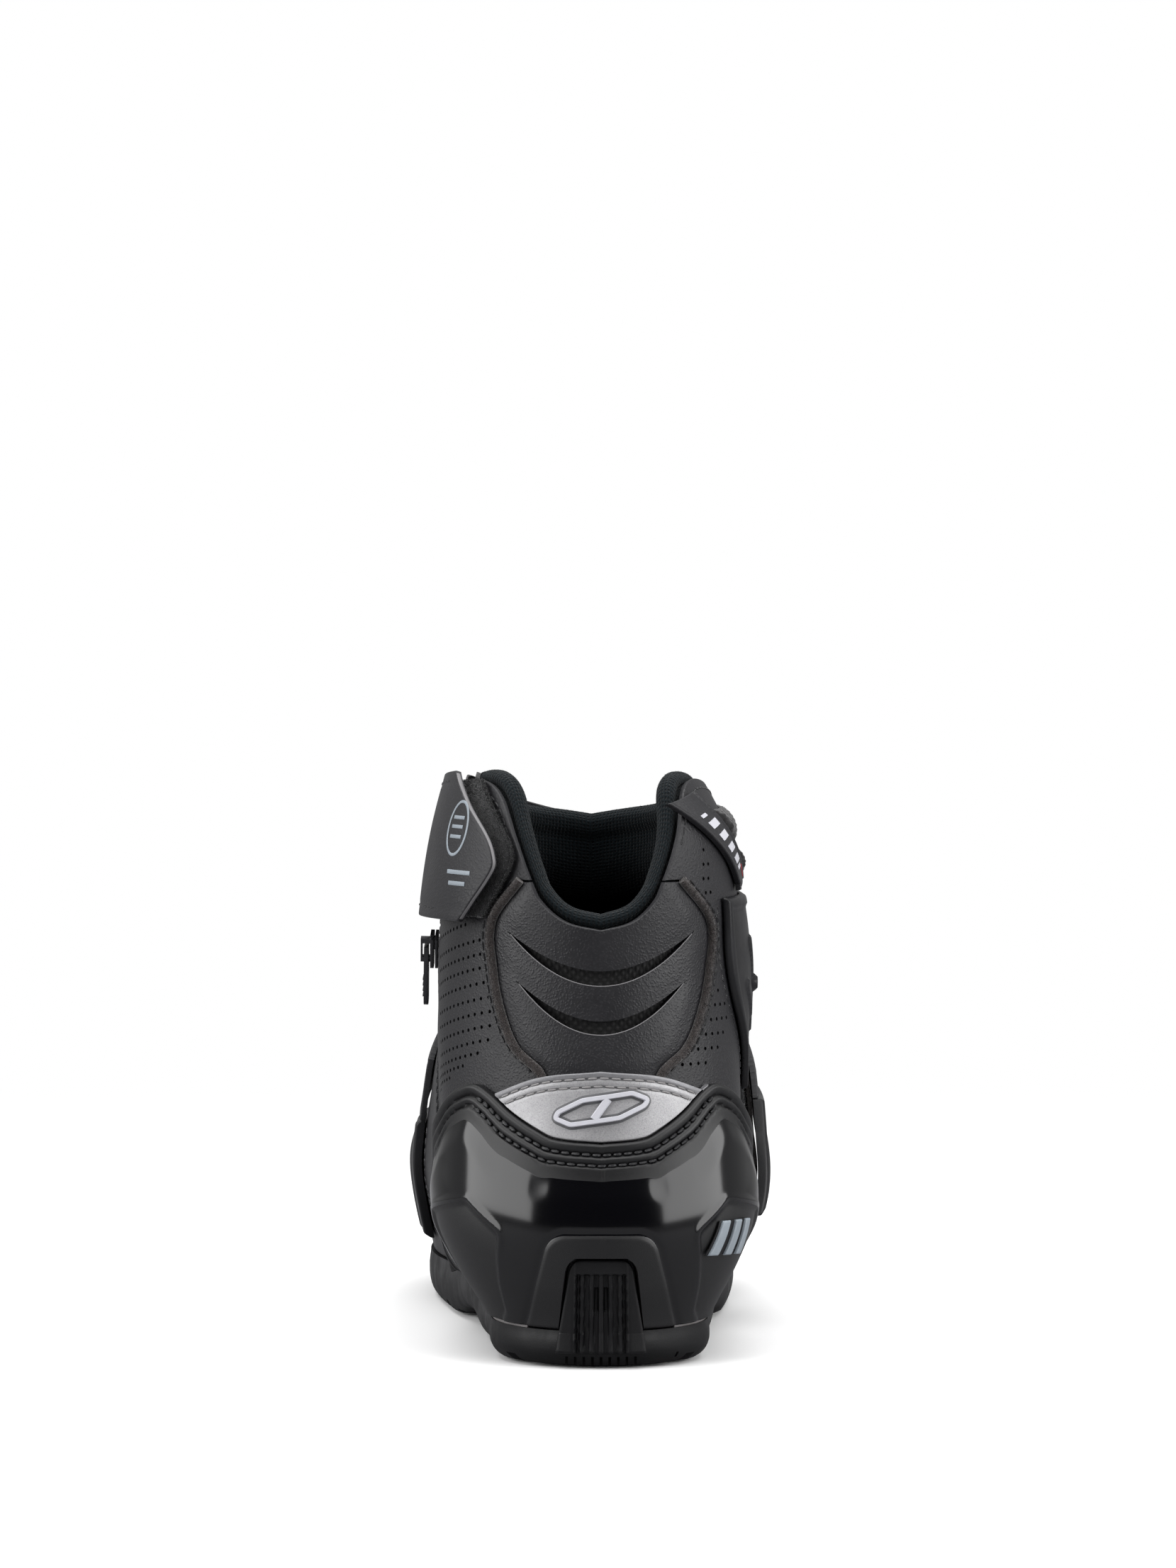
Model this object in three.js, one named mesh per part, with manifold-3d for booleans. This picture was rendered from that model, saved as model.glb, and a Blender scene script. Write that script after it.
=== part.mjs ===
// A short motorcycle riding boot for the right foot, in millimetres.
// +X is the outer side of the foot, +Y points to the toe and +Z is up.
// The origin is the centre of the heel's contact patch on the ground.
//
// The boot is built from the outside of its leather upper, the last surface. A place on that
// surface is named by two numbers: the turn, in degrees round the boot from the middle of the heel
// (positive on the outer side, 180 at the toe), and the height above the ground. A third number,
// the depth, is the distance out of the surface. Each panel is a region of turn and height between
// two depths.
import * as THREE from "three";
import { mergeVertices } from "three/addons/utils/BufferGeometryUtils.js";
import Module from "manifold-3d";

const wasm = await Module();
wasm.setup();

// ---- Driving dimensions ----
const soleLength = 288;
const ballWidth = 106;
const cuffHeight = 184; // ground to the top of the last
const heelCentre = 34; // heel's rearmost point to the centre of its contact patch
const gap = 0.3; // between pieces that touch
const layerGap = 0.7; // between layers of the upper, which curve two ways
const leather = 1.6;
const overlay = 2.5; // moulded guards on the leather
const lining = 2.2;
const collarPad = 8; // thickness of the padded collar
const collarRoll = 4.6; // how far the padded collar stands above the leather's edge
const collarDrop = 24; // how far it reaches down inside
const pile = 1.8; // loop pads
const hooks = 1.3; // hook pads
const strapThick = 2;
const instepStrapWidth = 34;
const instepStrapSlope = 0.52; // forward lean of the strap's line, per mm of height
const zipTapeWidth = 13;
const zipTapeThick = 0.8;
const coilWidth = 4.4;
const coilThick = 1.3;
const sliderLength = 11;
const sliderWidth = 8;
const sliderThick = 2.6;
const pullLength = 20;
const pullWidth = 6;
const pullThick = 1.4;
const weltOverhang = 3.2; // outsole beyond the upper
const treadDepth = 3;
const treadWidth = 4;
const insoleBoard = 2;
const footbedThick = 5;
const shankThick = 1.2;
const shankWidth = 14;

// ---- The last ----
// The size that the stations are drawn for.
const drawn = { length: 288, width: 106, height: 184 };
const scale = {
  length: soleLength / drawn.length,
  width: ballWidth / drawn.width,
  height: cuffHeight / drawn.height,
};

const { lerp, smoothstep, clamp, degToRad, radToDeg } = THREE.MathUtils;

// A smooth function through points [x, y], level beyond its ends.
function through(points) {
  const last = points.length - 1;
  const slopes = points.map((point, i) => {
    const before = points[Math.max(i - 1, 0)];
    const after = points[Math.min(i + 1, last)];
    return (after[1] - before[1]) / (after[0] - before[0]);
  });
  return (x) => {
    let i = 0;
    while (i < last - 1 && x > points[i + 1][0]) i++;
    const [x0, y0] = points[i];
    const [x1, y1] = points[i + 1];
    const width = x1 - x0;
    const t = clamp((x - x0) / width, 0, 1);
    const s = 1 - t;
    const ends = y0 * s * s * (1 + 2 * t) + y1 * t * t * (3 - 2 * t);
    return ends + width * s * t * (slopes[i] * s - slopes[i + 1] * t);
  };
}

// Top of the outsole's edge above the ground, by distance from the heel's back.
const soleEdge = through([
  [0, 11],
  [60, 13],
  [115, 17],
  [190, 15],
  [240, 17],
  [288, 25],
]);
// Sideways swing of the boot's centre line towards the inner side.
const inflare = (reach) => -10 * clamp(reach / drawn.length, 0, 1) ** 1.5;

// Level rings round the last. height, halfInner and halfOuter are [at the heel, at the toe];
// reach is the distance of the ring's ends from the heel's back; round is the length of its
// rounded ends.
const stations = [
  { height: null, reach: [3.5, 283], halfInner: [30.5, 48], halfOuter: [30.5, 47], round: [30, 92] },
  { height: [27, 36], reach: [1.5, 285], halfInner: [38, 52], halfOuter: [36.5, 51], round: [34, 90] },
  { height: [42, 48], reach: [1, 277], halfInner: [44, 53], halfOuter: [41.5, 51], round: [38, 88] },
  { height: [60, 60], reach: [3, 252], halfInner: [45.5, 51], halfOuter: [42, 48], round: [42, 88] },
  { height: [80, 77], reach: [6.5, 214], halfInner: [47, 49], halfOuter: [42, 45], round: [45, 84] },
  { height: [100, 98], reach: [9, 178], halfInner: [48.5, 46], halfOuter: [42.5, 42], round: [50, 74] },
  { height: [120, 120], reach: [10.5, 149], halfInner: [49, 46], halfOuter: [43, 42], round: [55, 66] },
  { height: [140, 140], reach: [10.5, 135], halfInner: [47.5, 45], halfOuter: [42.5, 41], round: [56, 60] },
  { height: [160, 160], reach: [12, 127], halfInner: [44, 42], halfOuter: [39.5, 38], round: [54, 56] },
  { height: [184, 184], reach: [17, 119], halfInner: [37, 36], halfOuter: [26, 26], round: [50, 50] },
];
const lastTop = cuffHeight;

const roundEnd = (share) => Math.sqrt(1 - (1 - clamp(share, 0, 1)) ** 2);

// The point of a station's ring at a turn.
function ringPoint(station, turn) {
  const angle = degToRad(turn);
  const side = Math.sign(Math.sin(angle));
  const along = (1 - Math.cos(angle)) / 2;
  const [rear, front] = station.reach;
  const reach = lerp(rear, front, along);
  const half = side < 0 ? station.halfInner : station.halfOuter;
  const ends = roundEnd((reach - rear) / station.round[0]) * roundEnd((front - reach) / station.round[1]);
  const x = side * lerp(half[0], half[1], smoothstep(along, 0.1, 0.75)) * ends + inflare(reach);
  const base = soleEdge(0);
  const height = station.height
    ? base + (lerp(...station.height, smoothstep(along, 0, 1)) - base) * scale.height
    : soleEdge(reach);
  return { x: x * scale.width, y: reach * scale.length, z: height };
}

const columns = new Map();
// x and y of the last as functions of the height, at one turn.
function column(turn) {
  const key = turn.toFixed(4);
  if (!columns.has(key)) {
    const points = stations.map((station) => ringPoint(station, turn));
    columns.set(key, {
      x: through(points.map((p) => [p.z, p.x])),
      y: through(points.map((p) => [p.z, p.y])),
      foot: points[0].z,
    });
  }
  return columns.get(key);
}

const onLast = (turn, height) => {
  const at = column(turn);
  return new THREE.Vector3(at.x(height), at.y(height), height);
};
const footHeight = (turn) => column(turn).foot;

// Outward direction of the last.
function outward(turn, height) {
  const step = 0.5;
  const round = onLast(turn + step, height).sub(onLast(turn - step, height));
  const up = onLast(turn, height + step).sub(onLast(turn, height - step));
  return round.cross(up).normalize();
}

const point = (turn, height, depth) => {
  return onLast(turn, height).addScaledVector(outward(turn, height), depth);
};

// The value in [low, high] at which a rising function reaches a target.
function solve(rising, target, low, high) {
  for (let i = 0; i < 40; i++) {
    const middle = (low + high) / 2;
    if (rising(middle) < target) low = middle;
    else high = middle;
  }
  return (low + high) / 2;
}

// Turn of the place at a distance from the heel's back, on the outer (1) or inner (-1) side.
const turnAtReach = (reach, height, side) => {
  return side * solve((turn) => onLast(side * turn, height).y, reach * scale.length, 0, 180);
};
// Turn of the place on the rear of the boot at a sideways distance from its centre line.
const turnAtX = (x, height) => {
  const side = Math.sign(x) || 1;
  const middle = onLast(0, height).x;
  const away = (turn) => side * (onLast(side * turn, height).x - middle);
  return side * solve(away, Math.abs(x) * scale.width, 0, 75);
};
// Height at which a turn's column crosses a line of the side view: reach = start + slope * height.
const heightAtLine = (turn, start, slope) => {
  const ahead = (height) => (start + slope * height) * scale.length - onLast(turn, height).y;
  return solve(ahead, 0, footHeight(turn), lastTop);
};
const tall = (height) => soleEdge(0) + (height - soleEdge(0)) * scale.height;

// ---- Solids ----
// A closed geometry from a grid of outer points, one of inner points and the walls between them.
// A ring closes on itself in the grid's first direction.
function gridSolid(outer, inner, across, up, ring = false) {
  const points = [];
  const faces = [];
  const row = across + 1;
  const sheet = row * (up + 1);
  for (const at of [outer, inner])
    for (let j = 0; j <= up; j++)
      for (let i = 0; i <= across; i++) points.push(...at(i / across, j / up).toArray());
  const quad = (a, b, c, d) => faces.push(a, b, c, a, c, d);
  for (let j = 0; j < up; j++)
    for (let i = 0; i < across; i++) {
      const a = j * row + i;
      quad(a, a + 1, a + row + 1, a + row);
      quad(sheet + a, sheet + a + row, sheet + a + row + 1, sheet + a + 1);
    }
  for (let i = 0; i < across; i++) {
    const top = up * row + i;
    quad(i, sheet + i, sheet + i + 1, i + 1);
    quad(top, top + 1, sheet + top + 1, sheet + top);
  }
  for (let j = 0; j < up && !ring; j++) {
    const a = j * row;
    const b = a + across;
    quad(a, a + row, sheet + a + row, sheet + a);
    quad(b, sheet + b, sheet + b + row, b + row);
  }
  return closed(points, faces);
}

// A closed geometry through rings of points, each a function of the turn. The first and last rings
// are folded flat on the centre line.
function loft(rings, count) {
  const points = [];
  const faces = [];
  for (const ring of rings)
    for (let i = 0; i < count; i++) points.push(...ring(-180 + (360 * i) / count).toArray());
  for (let j = 0; j + 1 < rings.length; j++)
    for (let i = 0; i < count; i++) {
      const a = j * count + i;
      const b = j * count + ((i + 1) % count);
      faces.push(a, b, b + count, a, b + count, a + count);
    }
  return closed(points, faces);
}

// An indexed geometry with its shared points merged and its empty triangles dropped.
function closed(points, faces) {
  const raw = new THREE.BufferGeometry();
  raw.setAttribute("position", new THREE.Float32BufferAttribute(points, 3));
  raw.setIndex(faces);
  const merged = mergeVertices(raw, 1e-4);
  const index = [];
  for (let i = 0; i < merged.index.count; i += 3) {
    const [a, b, c] = [0, 1, 2].map((k) => merged.index.getX(i + k));
    if (a !== b && b !== c && c !== a) index.push(a, b, c);
  }
  merged.setIndex(index);
  return merged;
}

// A THREE geometry as a manifold-3d solid, and back.
function solid(geometry) {
  const bare = geometry.clone();
  bare.deleteAttribute("normal");
  bare.deleteAttribute("uv");
  const merged = mergeVertices(bare, 1e-4);
  const mesh = {
    numProp: 3,
    vertProperties: new Float32Array(merged.attributes.position.array),
    triVerts: new Uint32Array(merged.index.array),
  };
  return new wasm.Manifold(new wasm.Mesh(mesh));
}
function geometryOf(manifold) {
  const mesh = manifold.getMesh();
  const geometry = new THREE.BufferGeometry();
  geometry.setAttribute("position", new THREE.BufferAttribute(mesh.vertProperties, 3));
  geometry.setIndex(new THREE.BufferAttribute(mesh.triVerts, 1));
  return geometry;
}
const cut = (geometry, ...tools) => {
  return geometryOf(tools.reduce((left, tool) => left.subtract(solid(tool)), solid(geometry)));
};
const join = (geometry, ...others) => {
  return geometryOf(others.reduce((whole, other) => whole.add(solid(other)), solid(geometry)));
};

// A region of the last is { at: (u, v) => [turn, height] } for u and v from 0 to 1. It can be read
// a little outside those limits, which is how grown() widens one that also gives its size, [mm
// across, mm up].
const band = (from, to, low, high) => ({
  at: (u, v) => {
    const turn = lerp(from, to, u);
    return [turn, lerp(low(turn), high(turn), v)];
  },
});
// A region from a side view: reach and height, on one side of the boot.
const sideView = (side, view) => ({
  at: (u, v) => {
    const [reach, height] = view(u, v);
    return [turnAtReach(reach, height, side), height];
  },
});
const grown = (region, margin) => {
  if (margin === 0) return region;
  const [du, dv] = region.size.map((length) => margin / length);
  return { at: (u, v) => region.at(lerp(-du, 1 + du, u), lerp(-dv, 1 + dv, v)) };
};

// The solid of a region between two depths, each a number or a function of u and v.
function panel(region, inner, outer, cells, ring = false) {
  const depthOf = (depth, u, v) => (typeof depth === "function" ? depth(u, v) : depth);
  const surface = (depth) => (u, v) => point(...region.at(u, v), depthOf(depth, u, v));
  return gridSolid(surface(outer), surface(inner), ...cells, ring);
}
// The same region through every layer, for cutting its neighbours.
const throughAll = (region, margin, cells, from = -3, to = 12) => {
  return panel(grown(region, margin), from, to, cells);
};

// ---- Lines of the design ----
// Top edge of the leather round the cuff.
const cuffTurns = [
  [0, 131.8],
  [12, 134.5],
  [21.4, 141],
  [25.6, 147],
  [33.6, 159],
  [43, 170],
  [54, 175],
  [70, 175.5],
  [100, 171],
  [140, 163],
  [180, 159],
];
const cuffCurve = through(cuffTurns);
const cuffEdge = (turn) => {
  const wrapped = Math.abs(((((turn + 180) % 360) + 360) % 360) - 180);
  return tall(cuffCurve(wrapped));
};
// Lowest height of a layer whose outer face lies at a depth, clear of the outsole's edge.
const seat = (depth) => (turn) => {
  const lean = Math.max(0, -outward(turn, footHeight(turn) + 1).z);
  return footHeight(turn) + gap + depth * lean;
};
const foot = seat(leather);

// ---- Sole unit ----
const outlinePoint = (turn, out, height) => {
  const direction = outward(turn, footHeight(turn) + 2).setZ(0).normalize();
  return onLast(turn, footHeight(turn)).addScaledVector(direction, out).setZ(height);
};
// Folds an outline to the centre line, a little short of its ends.
const centreLine = (turn, height) => {
  const reach = lerp(30, soleLength - 45, (1 - Math.cos(degToRad(turn))) / 2);
  return new THREE.Vector3(inflare(reach) * scale.width, reach, height);
};
// Underside of the outsole: level at the heel and ball, arched between, sprung at the toe.
const archHeight = 5;
const toeSpring = 12;
function underside(reach) {
  const share = reach / soleLength;
  const arch = smoothstep(share, 0.27, 0.36) * (1 - smoothstep(share, 0.4, 0.5));
  return archHeight * arch + toeSpring * smoothstep(share, 0.74, 1) ** 1.5;
}
// The sole's own thickness profile round its edge, from the ground up.
function outsoleBlank() {
  const along = (turn) => onLast(turn, footHeight(turn)).y;
  const edge = (out, share) => (turn) => {
    const reach = along(turn);
    return outlinePoint(turn, out, lerp(underside(reach), footHeight(turn), share));
  };
  const fold = (share) => (turn) => {
    const flat = centreLine(turn, 0);
    return flat.setZ(lerp(underside(flat.y), soleEdge(flat.y / scale.length), share));
  };
  const rings = [
    fold(0),
    edge(weltOverhang - 4.5, 0),
    edge(weltOverhang - 0.8, 0.2),
    edge(weltOverhang, 0.55),
    edge(weltOverhang - 0.7, 1),
    fold(1),
  ];
  return loft(rings, 44);
}
// Rubber that climbs the middle of the heel.
const tongueTop = 33.5;
const heelTongue = {
  at: (u, v) => {
    const height = lerp(5, tongueTop, v);
    return [turnAtX((u - 0.5) * lerp(24, 17, v), height), height];
  },
  size: [20, 28],
};
const tongueDepth = 5.2;
const ribPitch = 2.6;
const ribCount = 5;
function heelRibCuts() {
  return Array.from({ length: ribCount }, (_, i) => {
    const x = (i - (ribCount - 1) / 2) * ribPitch;
    const groove = {
      at: (u, v) => {
        const height = lerp(9, tongueTop - 4, v);
        return [turnAtX(x + (u - 0.5) * 0.9, height), height];
      },
    };
    return panel(groove, tongueDepth - 1.1, tongueDepth + 3, [1, 5]);
  });
}
function bar(width, length, height, x, y, z, twist = 0) {
  const shape = new THREE.BoxGeometry(width, length, height);
  shape.rotateZ(degToRad(twist));
  shape.translate(x, y, z);
  return shape;
}
function treadCuts() {
  const span = ballWidth + 40;
  const cuts = [];
  const across = (reach, twist) => {
    const x = inflare(reach) * scale.width;
    cuts.push(bar(span, treadWidth, treadDepth * 2, x, reach * scale.length, 0, twist));
  };
  for (const reach of [16, 54]) across(reach, 0);
  for (const reach of [158, 214, 226]) across(reach, 6);
  return cuts;
}
function makeOutsole() {
  const tongue = panel(heelTongue, leather + gap, tongueDepth, [6, 6]);
  return cut(join(outsoleBlank(), tongue), ...heelRibCuts(), ...treadCuts());
}

// A board that follows the sole's top, inside the upper.
function insideBoard(inset, lift, thick, count) {
  const top = (reach) => soleEdge(reach / scale.length) + lift + thick;
  const at = (out, rise) => (turn) => {
    const height = onLast(turn, footHeight(turn)).y;
    return outlinePoint(turn, -out, top(height) - rise);
  };
  const fold = (rise) => (turn) => {
    const flat = centreLine(turn, 0);
    return flat.setZ(top(flat.y) - rise);
  };
  return loft([fold(thick), at(inset, thick), at(inset, 0), fold(0)], count);
}
const boardInset = 2;
const boardLift = 0.6;
const makeInsoleBoard = () => {
  const slotWidth = shankWidth + 2 * gap;
  const slot = bar(slotWidth, shankReach[1] - shankReach[0] + 2 * gap, 20, 0, shankMiddle, 20);
  slot.translate(shankX, 0, 0);
  return cut(insideBoard(boardInset, boardLift, insoleBoard, 48), slot);
};
const shankReach = [62 * scale.length, 150 * scale.length];
const shankMiddle = (shankReach[0] + shankReach[1]) / 2;
const shankX = inflare(105) * scale.width;
// Steel shank, let into a slot of the insole board.
function makeShank() {
  const strip = (side) => (u, v) => {
    const reach = lerp(...shankReach, v);
    const height = soleEdge(reach / scale.length) + gap + side * shankThick;
    return new THREE.Vector3(shankX + (u - 0.5) * shankWidth, reach, height);
  };
  return gridSolid(strip(1), strip(0), 1, 8);
}
const footbedInset = lining + gap + 2.2;
const footbedLift = boardLift + insoleBoard + 0.5;
const makeFootbed = () => insideBoard(footbedInset, footbedLift, footbedThick, 48);

// ---- Upper: leather layer ----
const vampTop = tall(96);
const vampRear = through([
  [0, 84],
  [0.5, 106],
  [1, 142],
]);
const vampRegion = {
  at: (u, v) => {
    const rear = vampRear(v);
    const turn = lerp(rear, 360 - rear, u);
    return [turn, lerp(foot(turn), vampTop, v)];
  },
};
const vampRows = 12;
const vampAndBelow = { at: (u, v) => vampRegion.at(u, lerp(-2 / vampRows, 1, v)), size: [260, 100] };
// Sprung panel up the front of the ankle, between the quarters, with padded ribs.
const flexHalf = 26; // degrees each side of the front
const flexRibs = 5;
const flexRibHeight = 1.8;
const flexRegion = band(180 - flexHalf, 180 + flexHalf, () => vampTop + 2 * gap, cuffEdge);
const flexDepth = (u, v) => {
  const wave = Math.sin(Math.PI * flexRibs * v) ** 2;
  return leather + flexRibHeight * wave * (1 - smoothstep(v, 0.75, 0.9));
};
// Panel over the Achilles tendon.
const achillesFoot = tall(72);
const achillesHalf = through([
  [72, 13],
  [88, 17],
  [95, 24],
  [105, 28.2],
  [118, 30.7],
  [134, 31],
  [147, 22.5],
]);
const achillesGap = 0.9; // between the panel and the quarters beside it
const achillesRows = 11;
const achillesHead = tall(146);
const achillesRegion = (spread, above = 0) => ({
  at: (u, v) => {
    const lowest = achillesFoot - spread;
    let height = lerp(lowest, achillesHead, v);
    let turn = 0;
    for (let i = 0; i < 4; i++) {
      turn = turnAtX((2 * u - 1) * (achillesHalf(height / scale.height) + spread), height);
      height = lerp(lowest, Math.min(cuffEdge(turn), achillesHead) + above, v);
    }
    return [turn, height];
  },
});
const ventBow = 14; // how far a vent's ends rise above its middle
const vents = [
  { middle: 117, half: 27, width: 4.6 },
  { middle: 102, half: 24.5, width: 4.2 },
];
// A crescent slit in the Achilles panel.
const ventRegion = ({ middle, half, width }, spread = 0) => ({
  at: (u, v) => {
    const share = 2 * u - 1;
    const centre = tall(middle + ventBow * share * share);
    const open = width * (1 - share ** 4) * 0.5 + 0.15 + spread;
    const height = centre + (2 * v - 1) * open;
    return [turnAtX(share * (half + spread), height), height];
  },
});
function makeAchillesPanel() {
  const blank = panel(achillesRegion(0), 0, leather, [14, achillesRows]);
  return cut(blank, ...vents.map((vent) => panel(ventRegion(vent), -2, leather + 2, [10, 1])));
}
// Layer just inside the leather: air mesh, stiffeners and the zip's tape.
const backing = 0.9;
const meshHigh = (turn) => Math.min(tall(136), cuffEdge(turn) - 1.5);
const meshRegion = band(-37, 37, () => tall(94), meshHigh);

// Fastening line down the inner side, in the side view, and its two quarters.
const zipTop = { reach: 58, height: 178 };
const zipFoot = { reach: 103, height: 34 };
const zipPlace = (share, off) => {
  const reach = lerp(zipFoot.reach, zipTop.reach, share);
  const height = lerp(zipFoot.height, zipTop.height, share);
  return [reach + off, tall(height)];
};
const zipRegion = (width, low = 0, high = 1) => {
  return sideView(-1, (u, v) => zipPlace(lerp(low, high, v), (0.5 - u) * width));
};
const zipSlot = 10; // width of the opening between the quarters
const zipStart = 0.61; // the slider's places on the chain, as shares of it, shut and open
const zipEnd = 0.1;

// The quarters are one blank that the other leather pieces are cut from.
const quarterSplit = 0.5; // degrees from the middle of the heel to each quarter's rear edge
const quarterFront = 180 - flexHalf - 0.4; // and to its front edge
function makeQuarter(from, to) {
  const region = {
    at: (u, v) => {
      const turn = lerp(from, to, u);
      return [turn, lerp(foot(turn), cuffEdge(turn), v ** 1.2)];
    },
  };
  const blank = panel(region, 0, leather, [20, 13]);
  const neighbours = [
    throughAll(vampAndBelow, gap, [16, vampRows + 2]),
    throughAll(achillesRegion(achillesGap, 5), 0, [8, achillesRows]),
    throughAll(zipRegion(zipSlot, 0, 1.05), 0, [1, 12]),
  ];
  return cut(blank, ...neighbours);
}

// Piping over the seam at one side of the Achilles panel.
const pipingWidth = 3;
const pipingTall = 1.4;
const pipingRegion = (side) => ({
  at: (u, v) => {
    const height = lerp(89.8, 143, v);
    const x = side * (achillesHalf(height) + achillesGap / 2) + (u - 0.5) * pipingWidth;
    return [turnAtX(x, tall(height)), tall(height)];
  },
});

// ---- Collar and lining ----
const liningOuter = -2 * layerGap - backing;
const collarInner = liningOuter - (collarPad - 1.6);
const ringBand = (low, high) => band(-180, 180, low, high);
const collarFoot = (turn) => cuffEdge(turn) - collarDrop;
const collarRegion = ringBand(collarFoot, (turn) => cuffEdge(turn) + collarRoll);
const liningFoot = (turn) => foot(turn) + boardLift + insoleBoard + gap;
const liningRegion = ringBand(liningFoot, (turn) => collarFoot(turn) - 2 * gap);
// The collar's section: full in the middle, rounded over at the top.
const roundTop = (v) => smoothstep(v, 0.8, 1);
const collarSwell = 1.5; // past the leather's edge
const collarOut = (u, v) => {
  const swell = collarSwell * smoothstep(v, 0.84, 0.9);
  return liningOuter + (1 - roundTop(v)) * swell - 1.4 * roundTop(v);
};
const collarIn = (u, v) => collarInner + 1.6 * roundTop(v) + 2 * (1 - smoothstep(v, 0, 0.25));
// The collar and the lining part along the zip.
const zipParting = () => throughAll(zipRegion(1, 0, 1.1), 0, [1, 12], -12, 3);
const makeCollar = () => cut(panel(collarRegion, collarIn, collarOut, [36, 6], true), zipParting());
// The quarters' lining is a sleeve that the vamp's lining is set into.
const makeQuarterLining = () => {
  const sleeve = panel(liningRegion, liningOuter - lining, liningOuter, [36, 9], true);
  return cut(sleeve, zipParting(), throughAll(vampAndBelow, gap, [16, vampRows + 2], -12, 3));
};
const vampLiningRegion = { at: (u, v) => vampRegion.at(u, lerp(0.06, 1, v)) };
const makeVampLining = () => {
  return panel(vampLiningRegion, liningOuter - lining, liningOuter, [28, vampRows]);
};
const stiffener = (from, to, high) => {
  const region = band(from, to, liningFoot, () => tall(high));
  return panel(region, -layerGap - backing, -layerGap, [16, 6]);
};

// ---- Guards on the leather ----
const guardInner = leather + layerGap;
const guardOuter = guardInner + overlay;
const counterTop = through([
  [0, 67],
  [10, 68.3],
  [14.4, 71],
  [20.3, 75.5],
  [27, 81.5],
  [32, 84],
  [36, 83],
  [40.4, 80],
  [45, 74.5],
  [53, 66],
  [61, 56],
  [69, 40],
  [78, 19],
]);
const counterSpan = 78;
const counterHigh = (turn) => tall(counterTop(Math.abs(turn)));
const counterRegion = band(-counterSpan, counterSpan, seat(guardOuter), counterHigh);
// The counter bulges between its edges and is thin at its foot.
const counterBulge = 1.2;
const counterFoot = 1;
const counterDepth = (u, v) => {
  const thinning = counterFoot * (1 - smoothstep(v, 0, 0.25));
  return guardOuter + counterBulge * Math.sin(Math.PI * v) ** 2 - thinning;
};
const makeCounter = () => {
  const notch = throughAll(heelTongue, 0.5, [6, 6], 0, 14);
  return cut(panel(counterRegion, guardInner, counterDepth, [36, 6]), notch);
};
const badgeHalf = 30;
const badgeTop = through([
  [0, 89],
  [18, 86.8],
  [33, 80],
]);
const badgeRegion = {
  at: (u, v) => {
    const x = (2 * u - 1) * badgeHalf;
    const guess = counterHigh(turnAtX(x, tall(76)));
    const low = counterHigh(turnAtX(x, guess)) + 2 * gap;
    const height = lerp(low, tall(badgeTop(Math.abs(x))), v);
    return [turnAtX(x, height), height];
  },
  size: [60, 20],
};
const badgeThick = 1.6;
const badgeOuter = guardInner + badgeThick;
// Raised emblem: a slanted hexagonal ring with a bar in it.
const emblem = { width: 27, height: 9, middle: 77.5, rim: 1.5, thick: 0.9 };
function emblemPlate(inset) {
  const region = {
    at: (u, v) => {
      const share = 2 * u - 1;
      const half = emblem.height / 2 - inset;
      const reach = emblem.width / 2 - inset * 1.6;
      const taper = half * (1 - 0.75 * Math.max(0, (Math.abs(share) - 0.55) / 0.45));
      const x = share * reach + (2 * v - 1) * taper * 0.45;
      const height = tall(emblem.middle + (2 * v - 1) * taper + share * reach * 0.16);
      return [turnAtX(x, height), height];
    },
  };
  return (from, to) => panel(region, from, to, [8, 1]);
}
function makeEmblem() {
  const low = badgeOuter + gap;
  const high = low + emblem.thick;
  const ring = cut(emblemPlate(0)(low, high), emblemPlate(emblem.rim)(low - 1, high + 1));
  const middle = {
    at: (u, v) => {
      const height = tall(emblem.middle + (v - 0.5) * emblem.height * 0.9);
      return [turnAtX((u - 0.5) * 3 + (v - 0.5) * emblem.height * 0.4, height), height];
    },
  };
  return join(ring, panel(middle, low, high, [1, 3]));
}
// Raised mark on the counter's outer side: three slanted bars on one plate.
const markPlace = { reach: 18.5, height: 39, length: 12, tall: 9 };
function makeCounterMark() {
  const low = guardOuter + counterBulge + gap;
  const at = (from, to) =>
    sideView(
      1,
      (u, v) => {
        const lean = (v - 0.5) * 3;
        const reach = markPlace.reach + lerp(from, to, u) * markPlace.length + lean;
        return [reach, tall(markPlace.height + (v - 0.5) * markPlace.tall)];
      },
    );
  const base = panel(at(-0.5, 0.5), low, low + 0.5, [4, 3]);
  const bars = [-0.36, 0, 0.36].map((x) => panel(at(x - 0.11, x + 0.11), low + 0.2, low + 1.4, [1, 3]));
  return join(base, ...bars);
}
// Guard over the outer ankle bone, and the band above it that carries the printed label.
const guardRear = through([
  [78, 66],
  [90, 54],
  [105, 42],
  [120, 37],
  [143, 36],
]);
const guardFront = through([
  [78, 84],
  [90, 103],
  [105, 108],
  [120, 104],
  [143, 84],
]);
const ankleRegion = sideView(
  1,
  (u, v) => {
    const height = lerp(79, 140, v);
    return [lerp(guardRear(height), guardFront(height), u), tall(height)];
  },
);
// A swell that is full in the middle of 0 to 1 and nothing at its ends.
const dome = (share) => Math.sin(Math.PI * clamp(share, 0, 1));
const ankleDome = 1.8;
const ankleDepth = (u, v) => guardInner + overlay * 0.6 + ankleDome * dome(u) * dome(v);
const labelPath = through([
  [143.5, 57],
  [150, 50],
  [158, 40],
  [166, 31],
  [173, 24],
]);
const labelRegion = sideView(
  1,
  (u, v) => {
    const height = lerp(143, 170, v) + (u - 0.5) * 3;
    return [labelPath(height) + (u - 0.5) * 15, tall(height)];
  },
);
const labelOuter = guardInner + 1.4;
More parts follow.
